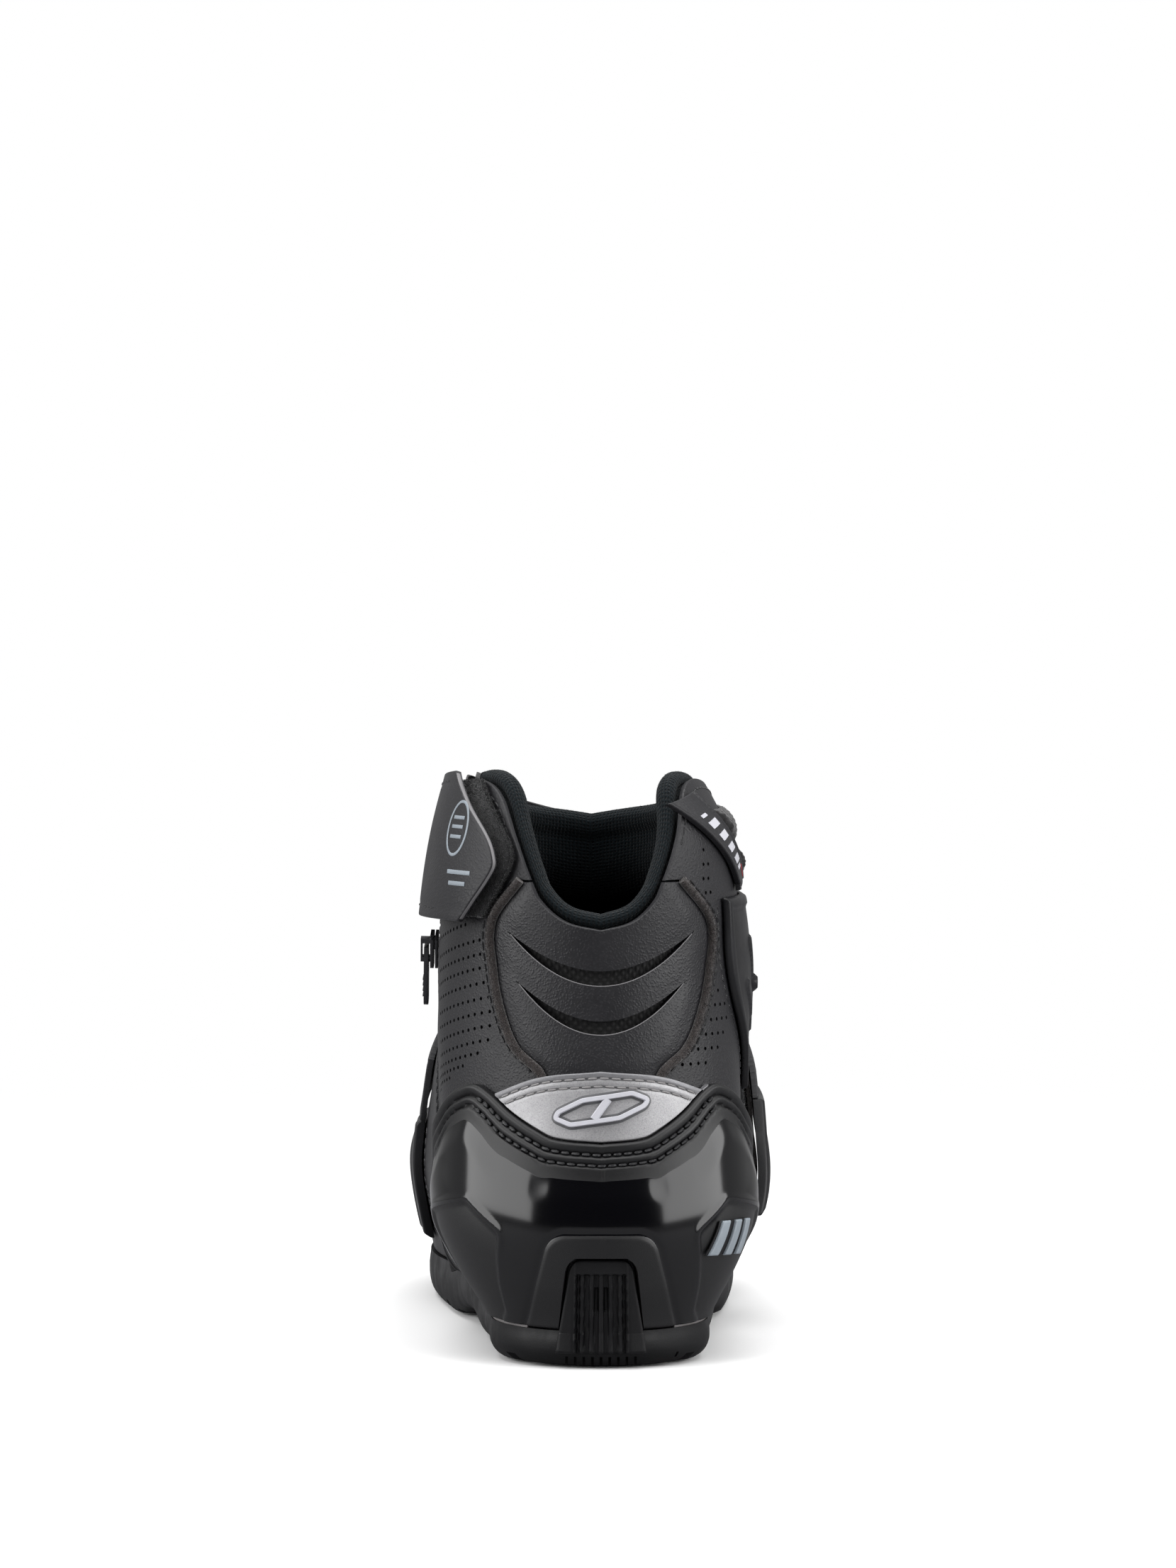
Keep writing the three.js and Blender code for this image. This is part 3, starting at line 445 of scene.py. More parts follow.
def sweep(path, up, profile, closed=False):
    """Points and faces of a bar: a closed profile of (across, out) carried along a path. The
    profile may have one set of points for each place of the path."""
    ahead = np.gradient(path, axis=0)
    if closed:
        ahead = np.roll(path, -1, 0) - np.roll(path, 1, 0)
    ahead = unit(ahead)
    across = unit(np.cross(ahead, up))
    out = np.cross(across, ahead)
    profile = np.broadcast_to(profile, (len(path),) + np.shape(profile)[-2:])
    points = path[:, None] + across[:, None] * profile[..., :1] + out[:, None] * profile[..., 1:]
    sides = profile.shape[1]
    rows = len(path)
    points = points.reshape(-1, 3)
    quads = grid_faces(rows, sides, True)
    if closed:
        return points, np.concatenate([quads, closing_faces(rows, sides)]).tolist()
    caps = [list(range(sides))[::-1], [k + (rows - 1) * sides for k in range(sides)]]
    return points, quads.tolist() + caps


def oval(half_width, half_tall, sides=8, lift=0.0):
    angle = np.linspace(0, 2 * math.pi, sides, endpoint=False)
    return np.stack([half_width * np.cos(angle), half_tall * np.sin(angle) + lift], -1)


def pillow(width, tall, sink=0.15):
    """Profile of a printed or moulded bar: flat below, rounded above."""
    half = width / 2
    return np.array([[half, -sink], [half, tall * 0.55], [half * 0.72, tall], [-half * 0.72, tall],
                     [-half, tall * 0.55], [-half, -sink]])


def path_lengths(path):
    """Distance of each of a path's points from its start."""
    return np.concatenate([[0], np.cumsum(np.linalg.norm(np.diff(path, axis=0), axis=1))])


def interpolate(at, lengths, rows):
    return np.stack([np.interp(at, lengths, column) for column in rows.T], -1)


def capsule(length, radius, sides=6):
    """A stitch lying along X."""
    across = np.array([0.45, 0.85, 1, 1, 0.85, 0.45]) * radius
    along = np.array([-0.5, -0.4, -0.15, 0.15, 0.4, 0.5]) * length
    angle = np.linspace(0, 2 * math.pi, sides, endpoint=False)
    points = [[x, r * math.cos(a), r * math.sin(a)] for x, r in zip(along, across) for a in angle]
    quads = grid_faces(len(along), sides, True).tolist()
    caps = [list(range(sides))[::-1], list(range((len(along) - 1) * sides, len(along) * sides))]
    return np.array(points), quads + caps


def scatter(template, origins, along, up):
    """Copies of a template whose X lies along one direction and whose Z points up."""
    points, faces = template
    along = unit(along)
    across = unit(np.cross(up, along))
    lift = np.cross(along, across)
    basis = np.stack([along, across, lift], 1)
    placed = origins[:, None] + np.einsum("kc,ncd->nkd", points, basis)
    count = len(points)
    loops = [[i + n * count for i in loop] for n in range(len(origins)) for loop in faces]
    return placed.reshape(-1, 3), loops


def stitches(turns, heights, depth, length=2.6, space=0.8, radius=0.33):
    """A row of stitches along a line of the last."""
    line = place(turns, heights, depth)
    normals = outward(turns, heights)
    lengths = path_lengths(line)
    count = max(int(round(lengths[-1] / (length + space))), 2)
    at = np.linspace(0, lengths[-1], count + 1)
    ends = interpolate(at, lengths, line)
    up = interpolate((at[1:] + at[:-1]) / 2, lengths, normals)
    return scatter(capsule(length, radius), (ends[1:] + ends[:-1]) / 2, ends[1:] - ends[:-1], up)


def hairs(points, normals, tall, width, seed):
    """Fine tapered fibres standing on a surface."""
    chance = np.random.default_rng(seed)
    count = len(points)
    lean = unit(normals + chance.normal(0, 0.45, (count, 3)))
    side = unit(np.cross(lean, chance.normal(0, 1, (count, 3))))
    other = np.cross(lean, side)
    size = width * chance.uniform(0.6, 1.2, (count, 1))
    height = tall * chance.uniform(0.45, 1.15, (count, 1))
    root = points - normals * 0.15
    corners = [root + side * size, root - side * size * 0.5 + other * size * 0.87,
               root - side * size * 0.5 - other * size * 0.87, root + lean * (height + 0.15)]
    base = np.arange(count)[:, None] * 4
    loops = [[0, 2, 1], [0, 1, 3], [1, 2, 3], [2, 0, 3]]
    faces = np.concatenate([base + np.array(loop) for loop in loops]).tolist()
    return np.stack(corners, 1).reshape(-1, 3), faces


def region_hairs(region, depth, count, tall, width, seed):
    u, v = np.random.default_rng(seed).random((2, count))
    turn, height = region(u, v)
    return hairs(place(turn, height, value(depth, u, v)), outward(turn, height), tall, width, seed)


# ---- Materials ----
class Look:
    """A principled material, with short calls for the textures that drive it."""

    def __init__(self, name, colour, roughness, **inputs):
        self.material = bpy.data.materials.new(name)
        self.material.use_nodes = True
        self.tree = self.material.node_tree
        self.shader = self.tree.nodes["Principled BSDF"]
        self.shader.inputs["Base Color"].default_value = tuple(colour) + (1,)
        self.shader.inputs["Roughness"].default_value = roughness
        for key, number in inputs.items():
            self.shader.inputs[key.replace("_", " ")].default_value = number
        self.normal = None

    def node(self, kind, settings=None, **sockets):
        node = self.tree.nodes.new(kind)
        for key, setting in (settings or {}).items():
            setattr(node, key, setting)
        for key, source in sockets.items():
            socket = node.inputs[int(key[1:])] if key[0] == "_" else node.inputs[key]
            if isinstance(source, bpy.types.NodeSocket):
                self.tree.links.new(source, socket)
            else:
                socket.default_value = source
        return node

    def place(self, source="Object"):
        return self.node("ShaderNodeTexCoord").outputs[source]

    def stretched(self, scale, turn=0.0):
        """The surface's own coordinates, scaled and turned."""
        mapping = self.node("ShaderNodeMapping", Vector=self.place("UV"), Scale=scale)
        mapping.inputs["Rotation"].default_value = (0, 0, math.radians(turn))
        return mapping.outputs[0]

    def noise(self, scale, detail=3, roughness=0.5, vector=None):
        node = self.node("ShaderNodeTexNoise", Vector=vector or self.place(), Scale=scale,
                         Detail=detail, Roughness=roughness)
        return node.outputs[0]

    def cells(self, scale, feature="F1", vector=None, randomness=1.0):
        node = self.node("ShaderNodeTexVoronoi", {"feature": feature}, Vector=vector or self.place(),
                         Scale=scale, Randomness=randomness)
        return node.outputs["Distance"]

    def waves(self, scale, vector, direction):
        settings = {"wave_type": "BANDS", "bands_direction": direction}
        return self.node("ShaderNodeTexWave", settings, Vector=vector, Scale=scale).outputs["Fac"]

    def mark(self, name):
        return self.node("ShaderNodeAttribute", {"attribute_name": name}).outputs["Fac"]

    def ramp(self, fac, low, high, start=0.0, end=1.0):
        node = self.node("ShaderNodeMapRange", {"interpolation_type": "SMOOTHSTEP"}, Value=fac)
        for key, number in (("From Min", low), ("From Max", high), ("To Min", start), ("To Max", end)):
            node.inputs[key].default_value = number
        return node.outputs[0]

    def maths(self, operation, a, b=0.0):
        return self.node("ShaderNodeMath", {"operation": operation}, _0=a, _1=b).outputs[0]

    def tint(self, fac, colour, strength=1.0):
        """Mixes another colour in where fac is high."""
        node = self.node("ShaderNodeMix", {"data_type": "RGBA"})
        base = self.shader.inputs["Base Color"]
        if base.links:
            self.tree.links.new(base.links[0].from_socket, node.inputs[6])
        else:
            node.inputs[6].default_value = base.default_value
        node.inputs[7].default_value = tuple(colour) + (1,)
        scaled = self.maths("MULTIPLY", fac, strength)
        self.tree.links.new(scaled, node.inputs[0])
        self.tree.links.new(node.outputs[2], base)
        return self

    def rough(self, fac, low, high):
        """Roughness from low to high as fac goes from 0 to 1."""
        self.tree.links.new(self.ramp(fac, 0, 1, low, high), self.shader.inputs["Roughness"])
        return self

    def bump(self, height, distance, strength=1.0):
        """Relief of a distance in millimetres."""
        node = self.node("ShaderNodeBump", Height=height, Strength=strength, Distance=distance * MM)
        if self.normal:
            self.tree.links.new(self.normal, node.inputs["Normal"])
        self.normal = node.outputs[0]
        self.tree.links.new(self.normal, self.shader.inputs["Normal"])
        return self


def scaled(colour, by):
    return tuple(min(c * by, 1) for c in colour)


def leather_look(name="upper_leather", colour=(0.0125, 0.0122, 0.0142), source="Object", relief=0.075):
    """Microfibre leather: fine pebbled grain, faint creases and soft wear."""
    look = Look(name, colour, 0.5, Specular_IOR_Level=0.34)
    at = look.place(source)
    grain = look.cells(1500, "SMOOTH_F1", at)
    creases = look.noise(520, 5, 0.62, at)
    cloud = look.noise(38, 3, 0.5, at)
    look.tint(look.ramp(cloud, 0.35, 0.7), scaled(colour, 1.35), 0.6)
    look.tint(look.ramp(grain, 0.15, 0.5), scaled(colour, 0.72), 0.55)
    look.rough(look.ramp(cloud, 0.3, 0.72), 0.4, 0.52)
    look.bump(look.ramp(grain, 0.05, 0.55), -relief).bump(creases, relief * 1.3, 0.7)
    return look.material


def knit_look(name, colour, light, pitch=(1.5, 1.1), relief=0.3, roughness=0.9, sheen=0.07):
    """Knitted mesh: rows of small loops with open holes between them, the holes darkened with painted
    shade.
    """
    look = Look(name, colour, roughness, Sheen_Weight=sheen, Sheen_Roughness=0.45,
                Specular_IOR_Level=0.15)
    at = look.stretched((1 / pitch[0], 1 / pitch[1], 1))
    holes = look.cells(1000, "F1", at, 0.18)
    threads = look.noise(2600, 4, 0.7)
    # Painted shade: the sunk holes are tinted near black.
    look.tint(look.ramp(holes, 0.5, 0.1), (0.001, 0.0012, 0.0015), 0.9)
    look.tint(look.ramp(threads, 0.52, 0.75), light, 0.7)
    look.bump(look.ramp(holes, 0.08, 0.5), relief).bump(threads, 0.16)
    return look.material


def fibre_look(name, colour, light):
    look = Look(name, colour, 0.85, Sheen_Weight=0.5, Sheen_Roughness=0.4, Specular_IOR_Level=0.3)
    tangle = look.noise(1700, 5, 0.75)
    look.tint(look.ramp(tangle, 0.5, 0.72), light, 0.8)
    look.bump(tangle, 0.35)
    return look.material


def rubber_look(name="sole_rubber", colour=(0.003, 0.003, 0.0036), roughness=(0.42, 0.6)):
    look = Look(name, colour, 0.5, Specular_IOR_Level=0.26)
    fine = look.noise(2400, 3)
    cloud = look.noise(55, 4, 0.6)
    look.tint(look.ramp(cloud, 0.45, 0.75), scaled(colour, 1.8), 0.5)
    look.rough(look.ramp(cloud, 0.3, 0.7), *roughness)
    look.bump(fine, 0.03)
    return look.material


def counter_look():
    """Polished moulding whose sunk parts have a fine matte texture."""
    look = Look("counter_gloss", (0.002, 0.002, 0.0027), 0.1, Specular_IOR_Level=0.42)
    gloss = look.mark("gloss")
    matte = look.ramp(gloss, 0.55, 0.45)
    fine = look.noise(3600, 2)
    wave = look.noise(30, 2)
    look.tint(matte, (0.0034, 0.0034, 0.004), 1.0)
    look.tree.links.new(look.ramp(matte, 0, 1, 0.13, 0.46), look.shader.inputs["Roughness"])
    speck = look.maths("MULTIPLY", fine, matte)
    look.bump(speck, 0.035).bump(wave, 0.25, 0.4)
    return look.material


def silver_look():
    """Metallic film over a coarse grain, with painted shade darkening its stitched seam grooves."""
    look = Look("silver_film", (0.33, 0.327, 0.335), 0.52, Metallic=0.4)
    mottle = look.noise(2200, 4, 0.75)
    cloud = look.noise(90, 3)
    look.tint(look.ramp(mottle, 0.5, 0.7), (0.44, 0.435, 0.45), 0.55)
    look.tint(look.ramp(mottle, 0.5, 0.3), (0.15, 0.147, 0.155), 0.6)
    look.tint(look.mark("border"), (0.15, 0.15, 0.16), 0.7)
    # Painted shade: the sunk seam grooves are tinted almost black.
    look.tint(look.ramp(look.mark("seam"), 0.25, 0.8), (0.02, 0.02, 0.022), 0.85)
    look.rough(look.ramp(cloud, 0.3, 0.7), 0.34, 0.5)
    look.bump(mottle, 0.06)
    return look.material


def plain_look(name, colour, roughness, spots=1800, relief=0.03, vary=1.5, **inputs):
    """Moulded plastic, metal or print: a fine surface texture and a little colour variation."""
    look = Look(name, colour, roughness, **inputs)
    fine = look.noise(spots, 3)
    cloud = look.noise(70, 3)
    look.tint(look.ramp(cloud, 0.4, 0.75), scaled(colour, vary), 0.4)
    look.rough(look.ramp(cloud, 0.3, 0.7), roughness * 0.85, min(roughness * 1.15, 1))
    look.bump(fine, relief)
    return look.material


def thread_look(name, colour, roughness=0.45):
    look = Look(name, colour, roughness, Specular_IOR_Level=0.5)
    twist = look.waves(1500, look.place(), "DIAGONAL")
    look.tint(twist, scaled(colour, 0.45), 0.6)
    look.bump(twist, 0.08)
    return look.material


def coarse_look(name, colour, light, pitch=1.25):
    """Coarse woven mesh, a diagonal basket of thick threads."""
    look = Look(name, colour, 0.8, Sheen_Weight=0.3, Sheen_Roughness=0.5, Specular_IOR_Level=0.3)
    at = look.stretched((1, 1, 1), 45)
    scale = 1 / (pitch * MM * math.tau)
    weave = look.maths("MULTIPLY", look.waves(scale, at, "X"), look.waves(scale, at, "Y"))
    look.tint(look.ramp(weave, 0.25, 0.7), light, 0.85)
    look.bump(weave, 0.4)
    return look.material


looks = {
    "leather": leather_look(),
    "strap": leather_look("strap_leather", (0.017, 0.0168, 0.019), "UV", 0.05),
    "strap_edge": plain_look("strap_edge", (0.16, 0.155, 0.16), 0.7),
    "knit": knit_look("collar_mesh", (0.0018, 0.0045, 0.0062), (0.0075, 0.0165, 0.021)),
    "lining": knit_look("lining_mesh", (0.0022, 0.0035, 0.0045), (0.008, 0.013, 0.0155), (1.9, 1.4)),
    "air": coarse_look("air_mesh", (0.0025, 0.0022, 0.0024), (0.02, 0.0175, 0.0185)),
    "vent": coarse_look("vent_mesh", (0.0008, 0.0008, 0.001), (0.011, 0.0105, 0.011), 0.95),
    "piping": fibre_look("piping", (0.024, 0.019, 0.018), (0.11, 0.09, 0.082)),
    "loop": fibre_look("loop_pile", (0.0028, 0.003, 0.0035), (0.02, 0.022, 0.025)),
    "hook": fibre_look("hook_pile", (0.01, 0.0085, 0.008), (0.05, 0.042, 0.04)),
    "rubber": rubber_look(),
    "guard": rubber_look("guard_rubber", (0.0075, 0.0075, 0.0088), (0.34, 0.46)),
    "counter": counter_look(),
    "silver": silver_look(),
    "white": plain_look("white_mark", (0.5, 0.5, 0.54), 0.4, vary=1.15),
    # painted shadow round the heel emblem
    "shadow": plain_look("mark_rim", (0.09, 0.09, 0.095), 0.5),
    "grey": plain_look("grey_mark", (0.22, 0.25, 0.28), 0.42),
    "red": plain_look("red_mark", (0.42, 0.02, 0.035), 0.4),
    "glue": plain_look("glue_line", (0.16, 0.15, 0.15), 0.55, 900, 0.2, 3.0),
    "thread": thread_look("black_thread", (0.016, 0.016, 0.018), 0.24),
    "grey_thread": thread_look("grey_thread", (0.3, 0.29, 0.29)),
    "tape": coarse_look("zip_tape", (0.004, 0.004, 0.0045), (0.022, 0.021, 0.022), 0.8),
    "coil": plain_look("zip_coil", (0.012, 0.012, 0.013), 0.35),
    "metal": plain_look("black_metal", (0.045, 0.045, 0.048), 0.32, Metallic=0.9),
    "board": plain_look("board", (0.26, 0.17, 0.1), 0.85, 700, 0.1),
    "steel": plain_look("steel", (0.5, 0.5, 0.52), 0.3, 900, 0.02, 1.2, Metallic=1.0),
    "foam": fibre_look("foam", (0.02, 0.02, 0.022), (0.05, 0.05, 0.055)),
}


# ---- Pieces ----
def keep(obj, look, body="boot", nodes=(), angle=None):
    """Gives a piece its material and its body, and hides the CAD nodes it stands for."""
    obj.data.materials.clear()
    obj.data.materials.append(looks[look])
    if angle:
        shade(obj, angle)
    if body:
        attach(obj, body)
    if nodes:
        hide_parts(*nodes)
    return obj


def bits(name, parts, look, body="boot", angle=50, nodes=()):
    """One object from several (points, faces)."""
    obj = outside(new_object(name, *combine(parts)))
    shade(obj, angle)
    return keep(obj, look, body, nodes)


# Sole unit
TONGUE_TOP = 33.5
TONGUE_DEPTH = 5.2
RIB_PITCH = 2.6
WELD = 0.002  # points closer than this are one


def outline(turn, out, height):
    """A point beside the sole's edge."""
    turn = np.asarray(turn, float)
    direction = outward(turn, foot_height(turn) + 2)
    direction[..., 2] = 0
    at = on_last(turn, foot_height(turn)) + unit(direction) * np.asarray(out, float)[..., None]
    at[..., 2] = height
    return at


def underside(reach):
    share = reach / SOLE_LENGTH
    arch = smoothstep(share, 0.27, 0.36) * (1 - smoothstep(share, 0.4, 0.5))
    return 5 * arch + 12 * smoothstep(share, 0.74, 1) ** 1.5


def centre_line(turn):
    reach = lerp(30, SOLE_LENGTH - 45, (1 - np.cos(np.radians(turn))) / 2)
    return np.stack([inflare(reach), reach, np.zeros(np.shape(turn))], -1)


def capped(name, rings_of_points):
    """A closed solid from rings of points round the sole, the first and last drawn together."""
    points = np.array(rings_of_points)
    points[..., 1] -= HEEL_CENTRE
    rows, count = points.shape[:2]
    obj = new_object(name, points.reshape(-1, 3), grid_faces(rows, count, True).tolist())
    work = bmesh.new()
    work.from_mesh(obj.data)
    bmesh.ops.remove_doubles(work, verts=work.verts, dist=WELD * MM)
    bmesh.ops.holes_fill(work, edges=work.edges)
    work.to_mesh(obj.data)
    work.free()
    return outside(obj)


def sole_blank():
    turn = np.linspace(-180, 180, 300, endpoint=False)
    reach = on_last(turn, foot_height(turn))[:, 1]
    top = foot_height(turn)
    bottom = underside(reach)
    core = centre_line(turn)
    rows = []
    heel = 1 - smoothstep(reach, 60, 110)
    corner = 4.2 + 2.6 * heel
    for share in np.linspace(0, 1, 9)[:-1]:
        edge = outline(turn, WELT - corner, bottom)
        row = lerp(core, edge, share)
        row[:, 2] = underside(row[:, 1])
        rows.append(row)
    for share in np.linspace(0, 1, 15):
        rise = np.clip(share / 0.62, 0, 1)
        inset = corner * (1 - np.sqrt(1 - (1 - rise) ** 2)) + 0.5 * smoothstep(share, 0.7, 1)
        rows.append(outline(turn, WELT - inset, lerp(bottom, top, share ** 1.1)))
    for share in np.linspace(0, 1, 6)[1:]:
        row = lerp(outline(turn, WELT - 0.5, top), core, share)
        row[:, 2] = sole_edge(row[:, 1])
        rows.append(row)
    return capped("outsole_rubber", rows)


def tongue_shape(low, above, wide, narrow, rounded_above):
    """A tapered strip up the heel, its top corners rounded, beside the tongue's own outline."""
    def region(u, v):
        height = lerp(low, TONGUE_TOP + above, v)
        corner = 3.2 * (1 - round_end((TONGUE_TOP + rounded_above - height) / 4.5))
        return turn_at_x((u - 0.5) * (lerp(wide, narrow, v) - 2 * corner), height), height
    return region


def tongue_relief(turn, height, u, v):
    """Ribs in a sunk panel between a raised rim."""
    x = from_middle(turn, height)
    inside = smoothstep(7.0 - abs(x), 0, 0.5) * smoothstep(TONGUE_TOP - 4.2 - height, 0, 0.6)
    groove = smoothstep(np.abs((x / RIB_PITCH) % 1 - 0.5), 0.36, 0.2)
    slots = sum(smoothstep(0.62 - abs(x - at), 0, 0.2) for at in (-RIB_PITCH / 2, RIB_PITCH / 2))
    slots = slots * smoothstep(height, 17.5, 18.2) * smoothstep(TONGUE_TOP - 8.2 - height, 0, 0.6)
    rim = 0.5 * smoothstep(abs(x), 6.6, 7.6)
    return -inside * (0.45 + 0.95 * groove) - slots * 1.0 - 0.25 + rim, {}


def bar(width, length, tall, centre, twist=0.0):
    """Points and faces of a box, turned about its vertical axis."""
    corners = np.array([[x, y, z] for z in (-1, 1) for y in (-1, 1) for x in (-1, 1)]) / 2
    corners = corners * [width, length, tall]
    turn = Matrix.Rotation(math.radians(twist), 3, "Z")
    points = corners @ np.array(turn).T + centre
    faces = [[0, 2, 3, 1], [4, 5, 7, 6], [0, 1, 5, 4], [2, 6, 7, 3], [0, 4, 6, 2], [1, 3, 7, 5]]
    return points, faces


TREAD_WIDE = 150
# Width, depth and twist of each kind of tread groove, and where they lie
TREAD = ((4, 3.0, 0, (16, 54)), (1.4, 1.6, 0, (26.5, 36, 44.5)), (4, 3.0, 6, (158, 214, 226)),
         (1.8, 1.8, 6, (140, 149, 169, 178, 187, 196, 205, 240, 252)))


def sole_cuts():
    """Tread grooves under the sole, notches in the heel's rear edge and one channel behind."""
    cuts = []
    for width, depth, twist, reaches in TREAD:
        for reach in reaches:
            middle = [float(inflare(reach)), reach - HEEL_CENTRE, float(underside(np.array(float(reach))))]
            cuts.append(bar(TREAD_WIDE, width, depth * 2, middle, twist))
    for i in range(-4, 5):
        cuts.append(bar(0.8, 9, 6.4, [i * RIB_PITCH, -HEEL_CENTRE + 1.5, 0.2]))
    cuts.append(bar(0.9, 26, 1.6, [27, -HEEL_CENTRE + 8, 3.1], 58))
    return cuts


def make_sole():
    sole = sole_blank()
    tongue = panel("tongue", tongue_shape(4.5, 0, 24, 17, 0.3), LEATHER + GAP - 1.4, TONGUE_DEPTH,
                   0.32, 0.9, extra=tongue_relief)
    points = np.array([v.co for v in tongue.data.vertices]) / MM
    faces = [list(p.vertices) for p in tongue.data.polygons]
    bpy.data.objects.remove(tongue)
    boolean(sole, [(points, faces)], "UNION")
    boolean(sole, sole_cuts())
    keep(sole, "rubber", nodes=["outsole"], angle=35)
    turns = [np.linspace(-74, -19.5, 120), np.linspace(19.5, 74, 120)]
    chance = np.random.default_rng(5)
    lines = []
    for turn in turns:
        wobble = np.convolve(chance.normal(0, 0.5, len(turn) + 8), np.ones(9) / 9, "valid")
        line = place(turn, foot_height(turn) + 0.15 + wobble * 0.4, 1.7 + wobble * 0.3)
        lines.append(sweep(line, outward(turn, foot_height(turn) + 1), oval(1.5, 0.42, 8)))
    bits("glue_line", lines, "glue")


# Heel counter
counter_top = through((0, 67), (10, 68.3), (14.4, 71), (20.3, 75.5), (27, 81.5), (32, 84), (36, 83),
                      (40.4, 80), (45, 74.5), (53, 66), (61, 56), (69, 40), (78, 19))
COUNTER_SPAN = 78
GROOVES = (3.3, 6.4)  # distances of the stitched grooves below the counter's upper edge
GLOSS_START = 11.0


def counter_high(turn):
    return counter_top(np.abs(turn))


def counter_slope(turn):
    """Rise of the counter's upper edge over its length along the surface."""
    step = 0.5
    a = on_last(turn - step, counter_high(turn))
    b = on_last(turn + step, counter_high(turn))
    run = np.linalg.norm((b - a)[..., :2], axis=-1)
    return (counter_high(turn + step) - counter_high(turn - step)) / run


def counter_line(turn, below):
    """Height of a line that runs beside the counter's upper edge."""
    return counter_high(turn) - below * np.hypot(1, counter_slope(turn))


def polygon_distance(x, y, corners):
    """Distance to a polygon's edge, positive inside."""
    best = np.full(x.shape, 1e9)
    inside = np.zeros(x.shape, bool)
    for (x0, y0), (x1, y1) in zip(corners, corners[1:] + corners[:1]):
        dx, dy = x1 - x0, y1 - y0
        t = np.clip(((x - x0) * dx + (y - y0) * dy) / (dx * dx + dy * dy), 0, 1)
        best = np.minimum(best, np.hypot(x - x0 - t * dx, y - y0 - t * dy))
        with np.errstate(divide="ignore", invalid="ignore"):
            crossing = ((y0 > y) != (y1 > y)) & (x < (x1 - x0) * (y - y0) / (y1 - y0) + x0)
        inside ^= crossing
    return np.where(inside, best, -best)


def around(turn, height):
    """Distance round the boot from the middle of the heel, in millimetres."""
    table = np.linspace(0, 180, 361)
    line = on_last(table, np.full(table.shape, 40.0))
    return np.interp(np.abs(turn), table, path_lengths(line))


# Corners of the sunk facet on each side, by distance round the boot and height
FACET = [(30.5, 39.5), (39.5, 46), (60, 42.5), (84, 25.3), (60, 18), (38, 15.8), (35, 18.5)]
FACET_CORNER = 3
FRAME_TOP = 40.5
FRAME_HALF = (21.0, 14.0)  # at the foot and at the top
FRAME_CORNER = 4.5
MOULD_LINE = 0.6  # from the heel's middle


def counter_relief(turn, height, u, v):
    slope = counter_slope(turn)
    below = (counter_high(turn) - height) / np.hypot(1, slope)
    x = from_middle(turn, height)
    out = 1.2 * np.sin(math.pi * v) ** 2 - (1 - smoothstep(v, 0, 0.25))
    for at in GROOVES:
        out -= 0.95 * np.exp(-(((below - at) / 0.55) ** 4))
    out += 0.45 * np.exp(-(((below - sum(GROOVES) / 2) / 0.9) ** 2))
    out += 0.55 * smoothstep(below, 2.9, 1.2)
    side = smoothstep(np.abs(turn), 36, 42)
    out -= 0.7 * side * np.exp(-(((below - 9.2) / 0.5) ** 4))
    # Belly, and the facets sunk in its sides
    out += 0.9 * smoothstep(below, GLOSS_START - 1.5, GLOSS_START + 7) * smoothstep(height, 12, 46)
    facet = polygon_distance(around(turn, height), height, FACET) + FACET_CORNER
    out -= 1.0 * smoothstep(facet, -0.2, 1.3) * (0.65 + 0.35 * smoothstep(height, 20, 42))
    out += 0.35 * np.exp(-(((facet + 0.8) / 0.8) ** 2)) * smoothstep(height, 34, 42)
    # Frame round the heel tongue
    half = lerp(FRAME_HALF[0], FRAME_HALF[1], np.clip((height - 10) / (FRAME_TOP - 10), 0, 1))
    dx = half - np.abs(x)
    dz = FRAME_TOP - height
    rounded = FRAME_CORNER - np.hypot(FRAME_CORNER - dx, FRAME_CORNER - dz)
    frame_edge = np.where((dx < FRAME_CORNER) & (dz < FRAME_CORNER), rounded, np.minimum(dx, dz))
    out += 0.55 * smoothstep(frame_edge, -0.3, 0.9) - 0.25 * smoothstep(frame_edge, -2.2, -0.3)
    # Mould line
    out += 0.14 * np.exp(-(((x - MOULD_LINE) / 0.22) ** 2)) * smoothstep(below, 0.2, 1.0)
    gloss = np.minimum((below - GLOSS_START) * 0.6, np.minimum(-facet, -frame_edge) * 2.0)
    return out, {"gloss": np.clip(gloss, -1, 1) * 0.5 + 0.5}


def make_counter():
    region = band(-COUNTER_SPAN, COUNTER_SPAN, seat(GUARD_OUTER), counter_high)
    obj = panel("counter_shell", region, GUARD_INNER, GUARD_OUTER, 0.55, 1.1, extra=counter_relief)
    boolean(obj, [block(tongue_shape(2, 0.7, 25.3, 18.1, 0.9), 0, 12, (8, 24))])
    keep(obj, "counter", nodes=["heel_counter"], angle=50)
    turn = np.linspace(-30.5, 30.5, 240)
    rows = [stitches(turn, counter_line(turn, at), GUARD_OUTER - 0.1, 2.5, 0.65, 0.52) for at in GROOVES]
    bits("counter_stitches", rows, "thread")


# Badge
badge_top = through((0, 89), (18, 86.8), (33, 80))
BADGE_HALF = 30
BADGE_SEAMS = (1.9, 4.4)  # below the badge's upper edge


def badge_region(u, v):
    x = (2 * u - 1) * BADGE_HALF
    guess = counter_high(turn_at_x(x, 76))
    low = counter_high(turn_at_x(x, guess)) + 2 * GAP
    height = lerp(low, badge_top(np.abs(x)), v)
    return turn_at_x(x, height), height


def badge_relief(turn, height, u, v):
    below = badge_top(np.abs(from_middle(turn, height))) - height
    seam = sum(np.exp(-(((below - at) / 0.45) ** 2)) for at in BADGE_SEAMS)
    # The seam grooves are sunk, and the same mark paints shade into them in the film's material.
    return -0.3 * seam, {"border": smoothstep(below, 2.2, 1.2), "seam": seam}


EMBLEM = {"width": 27, "tall": 9, "middle": 77.5, "rim": 1.5}


